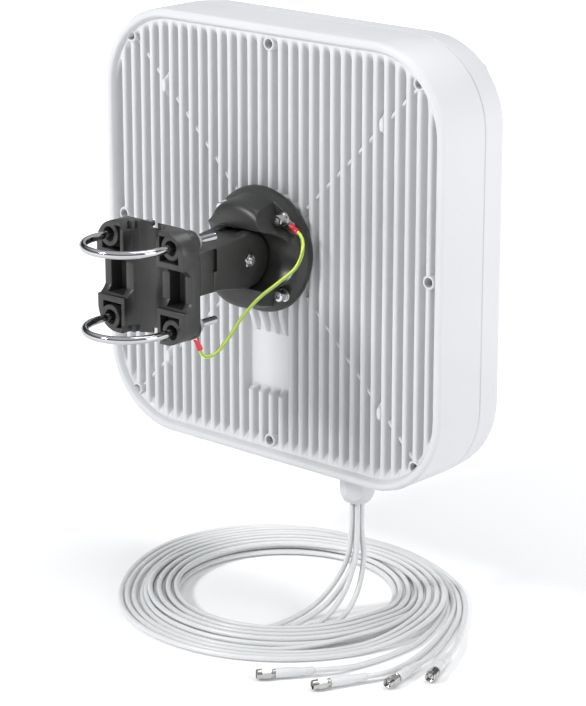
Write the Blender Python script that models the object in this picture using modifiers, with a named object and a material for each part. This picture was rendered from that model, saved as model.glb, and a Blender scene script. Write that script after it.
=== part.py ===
"""Directional panel antenna with a tilting pole bracket, an earth wire and four coaxial leads.

Metres, +Z up. The origin is on the axis of a vertical pole in the saddle, midway between the
U-bolts. The radome faces -Y and the pole saddle faces +Y. Run it in Blender 4.5.
"""

import math

import bmesh
import bpy
from mathutils import Matrix, Vector

GAP = 0.0003  # clearance between pieces that touch

# Housing. Depths are given behind (+) or in front of (-) the screw boss faces.
BOSS_PLANE_Y = -0.160
HALF_SIDE = 0.174
CORNER_RADIUS = 0.068
RIM_WIDTH = 0.0073
RIM_DEPTH = 0.005
RIB_TOP_DEPTH = 0.0005
RIB_FLOOR_DEPTH = -0.0085
WALL = 0.003
SEAM_DEPTH = -0.045
FRONT_DEPTH = -0.075
FRONT_DRAFT = 0.0015
RIB_PITCH = 0.0105
RIB_COUNT = 31
RIB_WIDTH = 0.0052
BOSS_CORNER = 0.1475  # corner boss, from the middle in both directions
BOSS_MIDDLE = 0.1589  # boss in the middle of a side
BOSS_RADIUS = 0.0052

# Bracket
FOOT_RADIUS = 0.050
FOOT_BASE_RADIUS = 0.0455  # where the foot meets the ribs, under its lip
FOOT_SCREW_SQUARE = 0.030
RECESS_DEPTH = 0.0161  # floor of the recess around each foot screw
EARTHED_SCREW = (-FOOT_SCREW_SQUARE, FOOT_SCREW_SQUARE)
LUG_THICKNESS = 0.0006
TILT_DEPTH = 0.042
KNUCKLE_RADIUS = 0.022
CHEEK_OUTSIDE = 0.018
CHEEK_INSIDE = 0.009
NECK_HALF_HEIGHT = 0.0173
NECK_END_DEPTH = 0.0985
SADDLE_DEPTH = 0.1426
SADDLE_HALF_WIDTH = 0.045
SADDLE_HALF_HEIGHT = 0.043
SADDLE_CORNER = 0.019
SADDLE_RIM = 0.017
UBOLT_SPACING = 0.064
UBOLT_ROD = 0.006
UBOLT_BEND_DEPTH = 0.156
UBOLT_END_DEPTH = 0.0955
NUT_SEAT_DEPTH = 0.1210

# Signs of x and z in the four corners, clockwise from the upper left seen from behind.
CORNER_SIGNS = ((1, 1), (-1, 1), (-1, -1), (1, -1))

# Leads
GLAND_X = -0.068
GLAND_DEPTH = -0.027
GLAND_FACE_Z = -0.2010  # lower end of the gland's cap
CABLE = 0.0043
CABLE_SPREAD = 0.00262
FLOOR_Z = -0.2947
COIL_CENTRE = (-0.005, -0.173)
COIL_INNER = 0.085
COIL_OUTER = 0.1345
COIL_HEIGHT = 0.0125
PLUG_AXIS_Z = FLOOR_Z + 0.0049
PLUG_LENGTH = 0.044  # plug and sleeve together
PLUG_TAIL = 0.026  # from the plug's tip back to the end of the cable

# Where each lead drops from the gland to the inside of the coil: x, y and height above the floor.
DROP_ROUTES = (
    ((-0.0652, -0.1842, 0.074), (-0.0630, -0.1805, 0.044), (-0.0520, -0.1610, 0.0130),
     (-0.0462, -0.1270, 0.0036), (-0.0400, -0.1060, 0.00235), (-0.0300, -0.0945, 0.00235)),
    ((-0.0652, -0.1894, 0.074), (-0.0665, -0.1855, 0.044), (-0.0622, -0.1640, 0.0160),
     (-0.0575, -0.1400, 0.0055), (-0.0540, -0.1180, 0.00235), (-0.0470, -0.1030, 0.00235)),
    ((-0.0707, -0.1842, 0.074), (-0.0716, -0.1800, 0.044), (-0.0705, -0.1630, 0.0165),
     (-0.0690, -0.1460, 0.0055), (-0.0667, -0.1300, 0.00235), (-0.0620, -0.1140, 0.00235)),
    ((-0.0707, -0.1894, 0.074), (-0.0745, -0.1875, 0.044), (-0.0765, -0.1750, 0.0170),
     (-0.0775, -0.1580, 0.0055), (-0.0775, -0.1430, 0.00235), (-0.0745, -0.1280, 0.00235)),
)
# Where each lead runs from the outside of the coil to its plug, on the floor: x and y.
TAIL_ROUTES = (
    ((-0.1412, -0.1897), (-0.1482, -0.1650), (-0.1488, -0.1380), (-0.1425, -0.1000)),
    ((-0.1238, -0.2416), (-0.1376, -0.2200), (-0.1490, -0.1970), (-0.1618, -0.1610), (-0.1685, -0.1250)),
    ((-0.1037, -0.2683), (-0.1246, -0.2477), (-0.1438, -0.2212), (-0.1562, -0.1960), (-0.1694, -0.1640)),
    ((-0.0737, -0.2919), (-0.1053, -0.2738), (-0.1290, -0.2504), (-0.1470, -0.2262), (-0.1600, -0.2050)),
)
# Each plug's tip and the way that it points, on the floor.
PLUG_TIPS = ((-0.0998, -0.0336), (-0.1443, -0.0465), (-0.1846, -0.0853), (-0.2012, -0.1149))
PLUG_WAYS = ((0.631, 0.776), (0.454, 0.891), (-0.126, 0.992), (-0.343, 0.939))

# Earth wire between its lugs: x, depth and z.
EARTH_WIRE = 0.0028
EARTH_ROUTE = (
    (-0.0545, 0.0228, 0.0120), (-0.0520, 0.0265, -0.0010), (-0.0480, 0.0430, -0.0115),
    (-0.0445, 0.0600, -0.0200), (-0.0410, 0.0770, -0.0335), (-0.0388, 0.0920, -0.0490),
    (-0.0374, 0.1050, -0.0570),
)

WHITE = (0.86, 0.87, 0.88)
DARK = (0.055, 0.056, 0.055)
STEEL = (0.72, 0.72, 0.71)
RADIATOR_METAL = (0.80, 0.81, 0.82)


def empty_scene():
    for obj in list(bpy.data.objects):
        bpy.data.objects.remove(obj, do_unlink=True)


def new_collection(name):
    collection = bpy.data.collections.new(name)
    bpy.context.scene.collection.children.link(collection)
    return collection


def material(name, color, roughness, metallic=0.0):
    made = bpy.data.materials.new(name)
    made.use_nodes = True
    shader = made.node_tree.nodes["Principled BSDF"]
    shader.inputs["Base Color"].default_value = (*color, 1.0)
    shader.inputs["Roughness"].default_value = roughness
    shader.inputs["Metallic"].default_value = metallic
    return made


def depth_y(depth):
    """World Y of a depth behind the boss faces."""
    return BOSS_PLANE_Y + depth


def add_object(name, data, finish=None):
    """Link a mesh or a curve as a part, or as a hidden cutter when it has no finish."""
    obj = bpy.data.objects.new(name, data)
    if finish is None:
        CUTTERS.objects.link(obj)
        obj.hide_render = True
        obj.display_type = "WIRE"
    else:
        PARTS.objects.link(obj)
        data.materials.append(finish)
    return obj


def mesh_object(name, bm, finish=None, smooth=False):
    mesh = bpy.data.meshes.new(name)
    bmesh.ops.recalc_face_normals(bm, faces=bm.faces)
    bm.to_mesh(mesh)
    bm.free()
    if smooth:
        mesh.shade_smooth()
        mesh.set_sharp_from_angle(angle=math.radians(35))
    return add_object(name, mesh, finish)


def box_mesh(low, high, rounded_axis=None, radius=0.0, segments=6):
    """A box between two corners, with its four edges along one axis rounded."""
    bm = bmesh.new()
    bmesh.ops.create_cube(bm, size=1.0)
    size = Vector(high) - Vector(low)
    bmesh.ops.scale(bm, vec=size, verts=bm.verts)
    bmesh.ops.translate(bm, vec=(Vector(high) + Vector(low)) / 2, verts=bm.verts)
    if rounded_axis is not None:
        others = [axis for axis in range(3) if axis != rounded_axis]
        edges = [
            edge for edge in bm.edges
            if all(abs(edge.verts[0].co[axis] - edge.verts[1].co[axis]) < 1e-7 for axis in others)
        ]
        bmesh.ops.bevel(bm, geom=edges, offset=radius, segments=segments, profile=0.5, affect="EDGES")
    return bm


def box(name, low, high, finish=None, rounded_axis=None, radius=0.0, segments=6):
    return mesh_object(name, box_mesh(low, high, rounded_axis, radius, segments), finish)


def slab_mesh(half, radius, depth_low, depth_high, segments=9):
    """A rounded square of the housing's outline, between two depths."""
    low = (-half, depth_y(depth_low), -half)
    high = (half, depth_y(depth_high), half)
    return box_mesh(low, high, 1, radius, segments)


def slab(name, half, radius, depth_low, depth_high, finish=None):
    return mesh_object(name, slab_mesh(half, radius, depth_low, depth_high), finish)


def tapered(bm, depth, scale):
    """Scale the vertices at one depth about the housing's middle."""
    chosen = [vert for vert in bm.verts if abs(vert.co.y - depth_y(depth)) < 1e-6]
    for vert in chosen:
        vert.co.x *= scale
        vert.co.z *= scale
    return bm


def round_end(bm, depth, radius, segments):
    """Round the outline of a slab at one depth."""
    edges = [edge for edge in bm.edges
             if all(abs(vert.co.y - depth_y(depth)) < 1e-6 for vert in edge.verts)]
    bmesh.ops.bevel(bm, geom=edges, offset=radius, segments=segments, profile=0.5, affect="EDGES")
    return bm


def towards(direction):
    """Rotation that takes +Z to a direction."""
    return Vector((0, 0, 1)).rotation_difference(Vector(direction).normalized()).to_matrix().to_4x4()


def cylinder(name, start, end, radius, finish=None, end_radius=None, segments=24):
    """A cylinder, cone or prism with its axis from start to end."""
    start, end = Vector(start), Vector(end)
    bm = bmesh.new()
    bmesh.ops.create_cone(
        bm, cap_ends=True, segments=segments, radius1=radius,
        radius2=radius if end_radius is None else end_radius, depth=(end - start).length,
    )
    place = Matrix.Translation((start + end) / 2) @ towards(end - start)
    bmesh.ops.transform(bm, matrix=place, verts=bm.verts)
    return mesh_object(name, bm, finish, smooth=segments > 8)


def turned(name, profile, origin, direction, finish=None, steps=24):
    """A solid of revolution. The profile holds (radius, height) points, from its top centre or
    top inner edge down its outer side; height runs along direction from origin."""
    mesh = bpy.data.meshes.new(name)
    points = [(radius, 0.0, height) for radius, height in profile]
    edges = [(i, i + 1) for i in range(len(points) - 1)]
    if profile[0][0] > 0:
        edges.append((len(points) - 1, 0))
    mesh.from_pydata(points, edges, [])
    obj = add_object(name, mesh, finish)
    obj.matrix_world = Matrix.Translation(origin) @ towards(direction)
    screw = obj.modifiers.new("Turn", "SCREW")
    screw.steps = screw.render_steps = steps
    screw.use_merge_vertices = True
    screw.merge_threshold = 1e-6
    screw.use_smooth_shade = True
    return obj


def hexagon(name, start, end, across_flats, finish=None, turn=0.0):
    obj = cylinder(name, start, end, across_flats / math.sqrt(3), finish, segments=6)
    middle = (Vector(start) + Vector(end)) / 2
    axis = Vector(end) - Vector(start)
    spin = Matrix.Translation(middle) @ Matrix.Rotation(turn, 4, axis) @ Matrix.Translation(-middle)
    obj.data.transform(spin)
    return obj


def wire_curve(name, points, diameter, finish, resolution=2):
    curve = bpy.data.curves.new(name, "CURVE")
    curve.dimensions = "3D"
    curve.bevel_depth = diameter / 2
    curve.bevel_resolution = resolution
    curve.use_fill_caps = True
    spline = curve.splines.new("POLY")
    spline.points.add(len(points) - 1)
    for point, position in zip(spline.points, points):
        point.co = (*position, 1.0)
    return add_object(name, curve, finish)


def smooth_route(route, step):
    """Points at about equal steps along a smooth curve through a route."""
    knots = [Vector(point) for point in route]
    knots = [knots[0] * 2 - knots[1], *knots, knots[-1] * 2 - knots[-2]]
    fine = [knots[1]]
    for a, b, c, d in zip(knots, knots[1:], knots[2:], knots[3:]):
        before, here, after = (b - a).length, (c - b).length, (d - c).length
        leaving = ((b - a) * here / before + (c - b) * before / here) / (before + here)
        arriving = ((c - b) * after / here + (d - c) * here / after) / (here + after)
        for i in range(1, 41):
            t = i / 40
            fine.append(
                b * (2 * t ** 3 - 3 * t ** 2 + 1) + leaving * here * (t ** 3 - 2 * t ** 2 + t)
                + c * (3 * t ** 2 - 2 * t ** 3) + arriving * here * (t ** 3 - t ** 2)
            )
    lengths = [0.0]
    for a, b in zip(fine, fine[1:]):
        lengths.append(lengths[-1] + (b - a).length)
    count = max(2, round(lengths[-1] / step))
    points, at = [], 0
    for i in range(count + 1):
        wanted = lengths[-1] * i / count
        while at < len(lengths) - 2 and lengths[at + 1] < wanted:
            at += 1
        span = max(lengths[at + 1] - lengths[at], 1e-12)
        points.append(fine[at].lerp(fine[at + 1], min(1.0, (wanted - lengths[at]) / span)))
    return points


def boolean(target, other, operation):
    modifier = target.modifiers.new(other.name, "BOOLEAN")
    modifier.operation = operation
    modifier.object = other


def cut(target, *cutters):
    for cutter in cutters:
        boolean(target, cutter, "DIFFERENCE")


def join(target, *others):
    for other in others:
        boolean(target, other, "UNION")


def boss_positions():
    """(x, z) of the eight cover bosses, clockwise from the upper left seen from behind."""
    c, m = BOSS_CORNER, BOSS_MIDDLE
    return [(c, c), (0, m), (-c, c), (-m, 0), (-c, -c), (0, -m), (c, -c), (m, 0)]


def screw_square():
    """(x, z) of the four foot screws."""
    s = FOOT_SCREW_SQUARE
    return [(s, s), (-s, s), (-s, -s), (s, -s)]


def ubolt_corners():
    """(x, z) of the four U-bolt legs."""
    s = UBOLT_SPACING / 2
    return [(s, s), (-s, s), (-s, -s), (s, -s)]


def rib_grooves():
    """One cutter with a sloped groove between each pair of ribs."""
    bm = bmesh.new()
    inside = HALF_SIDE - RIM_WIDTH - 0.0015
    corner = CORNER_RADIUS - RIM_WIDTH
    half_width = (RIB_PITCH - RIB_WIDTH) / 2
    slope = 0.009
    top_depth = RIM_DEPTH + 0.002
    for i in range(RIB_COUNT + 1):
        x = (i - RIB_COUNT / 2) * RIB_PITCH
        beyond = max(0.0, abs(x) + half_width - (inside - corner))
        end = inside - corner + math.sqrt(max(corner ** 2 - beyond ** 2, 1e-6))
        groove = box_mesh(
            (x - half_width, depth_y(RIB_FLOOR_DEPTH), -end),
            (x + half_width, depth_y(top_depth), end),
        )
        for vert in groove.verts:
            if vert.co.y < depth_y(0):
                vert.co.z -= math.copysign(slope, vert.co.z)
                vert.co.x = x + (vert.co.x - x) * 0.72
        piece = bpy.data.meshes.new("groove")
        groove.to_mesh(piece)
        groove.free()
        bm.from_mesh(piece)
        bpy.data.meshes.remove(piece)
    return mesh_object("rib_grooves", bm)


def make_back_shell(finish):
    shell = slab("back_shell", HALF_SIDE, CORNER_RADIUS, SEAM_DEPTH, RIM_DEPTH, finish)
    cavity_half = HALF_SIDE - WALL - 0.001
    cavity = slab("back_cavity", cavity_half, CORNER_RADIUS - WALL - 0.001,
                  SEAM_DEPTH - 0.005, RIB_FLOOR_DEPTH - WALL)
    inner = HALF_SIDE - RIM_WIDTH
    well = tapered(slab_mesh(inner, CORNER_RADIUS - RIM_WIDTH, RIB_TOP_DEPTH, RIM_DEPTH + 0.01),
                   RIB_TOP_DEPTH, (inner - 0.0015) / inner)
    pocket = box("label_pocket", (-0.0155, depth_y(RIB_FLOOR_DEPTH), -0.117),
                 (0.0265, depth_y(0.01), -0.073), None, 1, 0.002, 2)
    cut(shell, cavity, mesh_object("rear_well", well), rib_grooves(), pocket)

    pad = cylinder("bracket_pad", (0, depth_y(RIB_FLOOR_DEPTH - 0.001), 0), (0, depth_y(0), 0),
                   FOOT_BASE_RADIUS - 0.0005, segments=32)
    join(shell, pad)
    for i, (x, z) in enumerate(boss_positions()):
        boss = cylinder(f"boss_{i}", (x, depth_y(SEAM_DEPTH + 0.008), z), (x, depth_y(0), z),
                        BOSS_RADIUS, segments=16)
        join(shell, boss)
    for i, (sx, sz) in enumerate(CORNER_SIGNS):
        start = Vector((0.036 * sx, depth_y(-0.0055), 0.036 * sz))
        end = Vector((0.144 * sx, depth_y(-0.0055), 0.144 * sz))
        brace = cylinder(f"diagonal_rib_{i}", start, end, 0.0042, segments=4)
        gusset = cylinder(f"gusset_{i}", (0.112 * sx, depth_y(-0.010), 0.112 * sz),
                          (0.112 * sx, depth_y(0.0015), 0.112 * sz), 0.0085, None, 0.002, 4)
        post = cylinder(f"plate_post_{i}", (0.085 * sx, depth_y(-0.0498), 0.085 * sz),
                        (0.085 * sx, depth_y(-0.010), 0.085 * sz), 0.004, segments=8)
        join(shell, brace, gusset, post)
    for i, (x, z) in enumerate(boss_positions()):
        well = cylinder(f"boss_well_{i}", (x, depth_y(-0.030), z), (x, depth_y(0.01), z), 0.0036,
                        segments=12)
        hole = cylinder(f"boss_hole_{i}", (x, depth_y(-0.040), z), (x, depth_y(-0.025), z), 0.0022,
                        segments=8)
        cut(shell, well, hole)
    for i, (x, z) in enumerate(screw_square()):
        cut(shell, cylinder(f"foot_hole_{i}", (x, depth_y(-0.020), z), (x, depth_y(0.01), z), 0.0027,
                            segments=8))
    gland_y = depth_y(GLAND_DEPTH)
    cut(shell, cylinder("gland_hole", (GLAND_X, gland_y, -HALF_SIDE - 0.01),
                        (GLAND_X, gland_y, -HALF_SIDE + 0.02), 0.0104))
    return shell


def make_radome(finish):
    bm = slab_mesh(HALF_SIDE, CORNER_RADIUS, FRONT_DEPTH, SEAM_DEPTH - GAP)
    tapered(bm, FRONT_DEPTH, (HALF_SIDE - FRONT_DRAFT) / HALF_SIDE)
    radome = mesh_object("radome", round_end(bm, FRONT_DEPTH, 0.010, 4), finish)
    inside = HALF_SIDE - WALL - 0.001
    cavity = slab_mesh(inside, CORNER_RADIUS - WALL - 0.001, FRONT_DEPTH + WALL, SEAM_DEPTH + 0.01)
    cut(radome, mesh_object("radome_cavity", round_end(cavity, FRONT_DEPTH + WALL, 0.0075, 2)))
    groove = slab("seal_groove", HALF_SIDE - 0.0012, CORNER_RADIUS - 0.0012,
                  SEAM_DEPTH - 0.0018, SEAM_DEPTH + 0.01)
    cut(radome, groove)
    for i, (x, z) in enumerate(boss_positions()):
        post = cylinder(f"radome_post_{i}", (x, depth_y(FRONT_DEPTH + 0.001), z),
                        (x, depth_y(SEAM_DEPTH + 0.0075), z), 0.0050, segments=12)
        bore = cylinder(f"post_bore_{i}", (x, depth_y(FRONT_DEPTH + 0.020), z),
                        (x, depth_y(0), z), 0.0020, segments=8)
        join(radome, post)
        cut(radome, bore)
    return radome


def make_gasket(finish):
    gasket = slab("gasket", HALF_SIDE - 0.0015, CORNER_RADIUS - 0.0015,
                  SEAM_DEPTH - 0.0015, SEAM_DEPTH - GAP, finish)
    cut(gasket, slab("gasket_hole", HALF_SIDE - 0.0037, CORNER_RADIUS - 0.0037,
                     SEAM_DEPTH - 0.005, SEAM_DEPTH + 0.005))
    return gasket


def make_radiators(metal, board):
    slab("reflector_plate", 0.139, 0.030, -0.0516, -0.0501, metal)
    slab("feed_board", 0.112, 0.004, -0.0535, -0.0519, board)
    for i, (sx, sz) in enumerate(CORNER_SIGNS):
        x, z = 0.058 * sx, 0.058 * sz
        patch = box(f"patch_{i + 1}", (x - 0.033, depth_y(-0.063), z - 0.033),
                    (x + 0.033, depth_y(-0.062), z + 0.033), metal)
        join(patch, cylinder(f"patch_stud_{i}", (x, depth_y(-0.0625), z), (x, depth_y(-0.0538), z),
                             0.003, segments=12))


def make_cover_screws(finish):
    seat = -0.030 + GAP
    profile = [(0, seat + 0.003), (0.0031, seat + 0.003), (0.0033, seat + 0.0024), (0.0033, seat),
               (0.0018, seat), (0.0018, seat - 0.018), (0, seat - 0.018)]
    for i, (x, z) in enumerate(boss_positions()):
        turned(f"cover_screw_{i + 1}", profile, (x, BOSS_PLANE_Y, z), (0, 1, 0), finish, 12)


def make_foot_screws(finish):
    """Socket screws with washers; the one over the earth lug sits higher by the lug's thickness."""
    profile = [(0, 0.004), (0.0021, 0.004), (0.0021, 0.0068), (0.0038, 0.0068), (0.0043, 0.0062),
               (0.0043, 0.0010), (0.0053, 0.0010), (0.0053, 0), (0.0024, 0), (0.0024, -0.026),
               (0, -0.026)]
    for i, (x, z) in enumerate(screw_square()):
        seat = RECESS_DEPTH + GAP
        if (x, z) == EARTHED_SCREW:
            seat += LUG_THICKNESS + GAP
        turned(f"flange_screw_{i + 1}", profile, (x, depth_y(seat), z), (0, 1, 0), finish, 16)


def teardrop(name, sx, sz):
    """Cutter for the open-ended recess around one foot screw."""
    bm = bmesh.new()
    inner = 0.0350
    reach, spread = 0.0125, 0.030
    outline = [(inner, 0.0), (inner + reach, spread), (0.075, spread), (0.075, -spread),
               (inner + reach, -spread)]
    verts = [bm.verts.new((along, across, 0)) for along, across in outline]
    face = bm.faces.new(verts)
    made = bmesh.ops.extrude_face_region(bm, geom=[face])
    moved = [item for item in made["geom"] if isinstance(item, bmesh.types.BMVert)]
    bmesh.ops.translate(bm, vec=(0, 0, 0.05), verts=moved)
    bm.normal_update()
    crease = [edge for edge in bm.edges
              if all(abs(vert.co.x - inner) < 1e-6 for vert in edge.verts)]
    bmesh.ops.bevel(bm, geom=crease, offset=0.005, segments=4, profile=0.5, affect="EDGES")
    out = Vector((sx, 0, sz)).normalized()
    up = Vector((0, 1, 0))
    side = up.cross(out)
    turn = Matrix((out, side, up)).transposed().to_4x4()
    bmesh.ops.transform(bm, matrix=Matrix.Translation((0, depth_y(RECESS_DEPTH), 0)) @ turn, verts=bm.verts)
    return mesh_object(name, bm)


def make_flange_fork(finish):
    foot = RIB_TOP_DEPTH + GAP
    profile = [(0, 0.0405), (0.0385, 0.0400), (0.0415, 0.0370), (0.0435, 0.0290), (0.0450, 0.0170),
               (0.0475, 0.0140), (FOOT_RADIUS, 0.0110), (FOOT_RADIUS, 0.0075),
               (FOOT_BASE_RADIUS, foot), (0, foot)]
    fork = turned("flange_fork", profile, (0, BOSS_PLANE_Y, 0), (0, 1, 0), finish, 40)
    pivot_y = depth_y(TILT_DEPTH)
    slot_radius = KNUCKLE_RADIUS + 0.0012
    slot = cylinder("knuckle_slot", (-0.06, pivot_y, 0), (0.06, pivot_y, 0), slot_radius, segments=32)
    mouth = box("knuckle_mouth", (-0.06, pivot_y, -slot_radius - 0.0008),
                (0.06, pivot_y + 0.03, slot_radius + 0.0008))
    cut(fork, slot, mouth)
    for i, (x, z) in enumerate(screw_square()):
        cut(fork, teardrop(f"screw_recess_{i}", math.copysign(1, x), math.copysign(1, z)))
    tongue_half = CHEEK_INSIDE - GAP
    tongue = cylinder("tongue", (-tongue_half, pivot_y, 0), (tongue_half, pivot_y, 0), 0.0195,
                      segments=28)
    root = box("tongue_root", (-tongue_half, depth_y(0.010), -0.0185),
               (tongue_half, pivot_y, 0.0185))
    join(fork, tongue, root)
    cut(fork, cylinder("tongue_bore", (-0.03, pivot_y, 0), (0.03, pivot_y, 0), 0.0032))
    for i, (x, z) in enumerate(screw_square()):
        cut(fork, cylinder(f"fork_hole_{i}", (x, depth_y(-0.01), z), (x, depth_y(0.03), z), 0.0028,
                           segments=12))
    return fork


def make_tilt_pivot(finish):
    pivot = Vector((0, depth_y(TILT_DEPTH), 0))
    profile = [(0, 0.0178), (0.0046, 0.0178), (0.0050, 0.0172), (0.0050, 0.0138),
               (0.0029, 0.0138), (0.0029, -0.0205), (0.0024, -0.0212), (0, -0.0212)]
    turned("tilt_bolt", profile, pivot, (1, 0, 0), finish)
    nut = hexagon("tilt_nut", pivot + Vector((-0.0185, 0, 0)), pivot + Vector((-0.0138, 0, 0)),
                  0.0100, finish, math.radians(12))
    cut(nut, cylinder("tilt_nut_bore", pivot + Vector((-0.03, 0, 0)), pivot, 0.0032))


def make_arm(finish):
    pivot_y = depth_y(TILT_DEPTH)
    arm = cylinder("arm", (-CHEEK_OUTSIDE, pivot_y, 0), (CHEEK_OUTSIDE, pivot_y, 0), KNUCKLE_RADIUS,
                   finish, segments=40)
    neck = box_mesh((-CHEEK_OUTSIDE, pivot_y, -NECK_HALF_HEIGHT - 0.0035),
                    (CHEEK_OUTSIDE, depth_y(NECK_END_DEPTH), NECK_HALF_HEIGHT + 0.0035))
    for vert in neck.verts:
        if vert.co.y > pivot_y + 0.01:
            vert.co.z = math.copysign(NECK_HALF_HEIGHT, vert.co.z)
        else:
            vert.co.z = math.copysign(KNUCKLE_RADIUS - 0.0004, vert.co.z)
    join(arm, mesh_object("arm_neck", neck))
    spigot = box("arm_spigot", (-0.0120, depth_y(NECK_END_DEPTH - 0.01), -0.0120),
                 (0.0120, depth_y(NECK_END_DEPTH + 0.011), 0.0120), None, 1, 0.003, 3)
    join(arm, spigot)
    gap = cylinder("cheek_gap_round", (-CHEEK_INSIDE, pivot_y, 0), (CHEEK_INSIDE, pivot_y, 0), 0.0225,
                   segments=32)
    cut(arm, gap)
    bore = cylinder("arm_bore", (-0.03, pivot_y, 0), (0.03, pivot_y, 0), 0.0032)
    nut_seat = hexagon("nut_seat", (-0.03, pivot_y, 0), (-0.0135, pivot_y, 0), 0.0106, None,
                       math.radians(12))
    head_seat = cylinder("head_seat", (0.0135, pivot_y, 0), (0.03, pivot_y, 0), 0.0054)
    side_slot = box("side_slot", (-0.03, depth_y(0.0785), -0.001),
                    (-CHEEK_OUTSIDE + 0.0035, depth_y(0.0830), 0.0165))
    cut(arm, bore, nut_seat, head_seat, side_slot)
    return arm


def saddle_block(name, x_span, z_span, depth_low, depth_high=SADDLE_DEPTH + 0.005):
    """Cutter between two depths; each span's ends may be given in any order."""
    low = (min(x_span), depth_y(depth_low), min(z_span))
    high = (max(x_span), depth_y(depth_high), max(z_span))
    return box(name, low, high)


def corner_recess(name, sx, sz):
    """L-shaped pocket along the inner edges of a saddle pad."""
    inner, outer, width = 0.0205, 0.0395, 0.0125
    floor = SADDLE_DEPTH - 0.009
    pocket = saddle_block(name, (inner * sx, outer * sx), (inner * sz, (inner + width) * sz), floor)
    leg = saddle_block(name + "_leg", (inner * sx, (inner + width) * sx), (inner * sz, outer * sz), floor)
    x, z = sx * UBOLT_SPACING / 2, sz * UBOLT_SPACING / 2
    ring = cylinder(name + "_ring", (x, depth_y(0.10), z), (x, depth_y(0.16), z), 0.0092)
    join(pocket, leg)
    cut(pocket, ring)
    return pocket


def make_saddle_body(finish):
    """Rounded block with a back that narrows towards the arm, and a column round each leg."""
    back, front, rim = NECK_END_DEPTH + GAP, SADDLE_DEPTH, SADDLE_DEPTH - SADDLE_RIM
    body = box_mesh((-SADDLE_HALF_WIDTH, depth_y(rim), -SADDLE_HALF_HEIGHT),
                    (SADDLE_HALF_WIDTH, depth_y(front), SADDLE_HALF_HEIGHT), 1, SADDLE_CORNER, 6)
    saddle = mesh_object("saddle", body, finish)
    inset = 0.0035
    cone = box_mesh((inset - SADDLE_HALF_WIDTH, depth_y(back), inset - SADDLE_HALF_HEIGHT),
                    (SADDLE_HALF_WIDTH - inset, depth_y(rim + 0.001), SADDLE_HALF_HEIGHT - inset),
                    1, SADDLE_CORNER - inset, 5)
    tapered(cone, back, 0.48)
    join(saddle, mesh_object("saddle_back", cone))
    for i, (x, z) in enumerate(ubolt_corners()):
        seat = cylinder(f"nut_seat_{i}", (x, depth_y(0.09), z), (x, depth_y(NUT_SEAT_DEPTH), z), 0.0098)
        column = cylinder(f"leg_column_{i}", (x, depth_y(NUT_SEAT_DEPTH), z),
                          (x, depth_y(rim + 0.002), z), 0.0095)
        join(saddle, column)
        cut(saddle, seat)
    return saddle


def make_saddle(finish):
    front = SADDLE_DEPTH
    saddle = make_saddle_body(finish)
    trough = cylinder("pole_trough", (0, depth_y(front), -0.06), (0, depth_y(front), 0.06), 0.0172,
                      segments=32)
    cut(saddle, trough)
    for side in (-1, 1):
        cut(saddle, saddle_block(f"side_core_{side}", (side * 0.0225, side * 0.0385),
                                 (-0.0145, 0.0145), front - 0.0195))
        for i, (half, depth) in enumerate(((0.0155, 0.0045), (0.0115, 0.0080))):
            cut(saddle, saddle_block(f"side_step_{side}_{i}", (side * 0.010, side * 0.050),
                                     (-half, half), front - depth))
    for end in (-1, 1):
        for i, x in enumerate((0.0135, 0.0175)):
            cut(saddle, saddle_block(f"mouth_step_{end}_{i}", (x - 0.0022, x + 0.0022),
                                     (end * 0.0370, end * 0.0500), front - 0.0125 + 0.004 * i))
    for i, (sx, sz) in enumerate(CORNER_SIGNS):
        cut(saddle, corner_recess(f"pad_pocket_{i}", sx, sz))
    for i, (x, z) in enumerate(ubolt_corners()):
        cut(saddle, cylinder(f"leg_hole_{i}", (x, depth_y(0.09), z), (x, depth_y(0.16), z), 0.0036,
                             segments=16))
        cut(saddle, cylinder(f"leg_mouth_{i}", (x, depth_y(front - 0.006), z), (x, depth_y(0.16), z),
                             0.0052, segments=16))
    cut(saddle, box("spigot_socket", (-0.0123, depth_y(0.09), -0.0123),
                    (0.0123, depth_y(NECK_END_DEPTH + 0.0113), 0.0123), None, 1, 0.003, 3))
    return saddle


def make_ubolts(finish):
    half = UBOLT_SPACING / 2
    for name, z in (("ubolt_upper", half), ("ubolt_lower", -half)):
        points = [(half, depth_y(UBOLT_END_DEPTH), z)]
        for i in range(17):
            angle = math.pi * i / 16
            points.append((half * math.cos(angle), depth_y(UBOLT_BEND_DEPTH) + half * math.sin(angle), z))
        points.append((-half, depth_y(UBOLT_END_DEPTH), z))
        wire_curve(name, points, UBOLT_ROD, finish, 4)


def make_ubolt_nuts(finish):
    """Flange nuts on the legs; the one over the earth lug sits lower by the lug's thickness."""
    names = ("left_upper", "right_upper", "right_lower", "left_lower")
    for name, (x, z) in zip(names, ubolt_corners()):
        seat = NUT_SEAT_DEPTH - GAP
        if name == "right_lower":
            seat -= LUG_THICKNESS + GAP
        nut = hexagon(f"ubolt_nut_{name}", (x, depth_y(seat - 0.0062), z), (x, depth_y(seat - 0.0008), z),
                      0.0100, finish, math.radians(20))
        join(nut, cylinder(f"nut_flange_{name}", (x, depth_y(seat - 0.0016), z), (x, depth_y(seat), z),
                           0.0070))
        cut(nut, cylinder(f"nut_bore_{name}", (x, depth_y(0.09), z), (x, depth_y(0.13), z), 0.0033,
                          segments=16))


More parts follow.
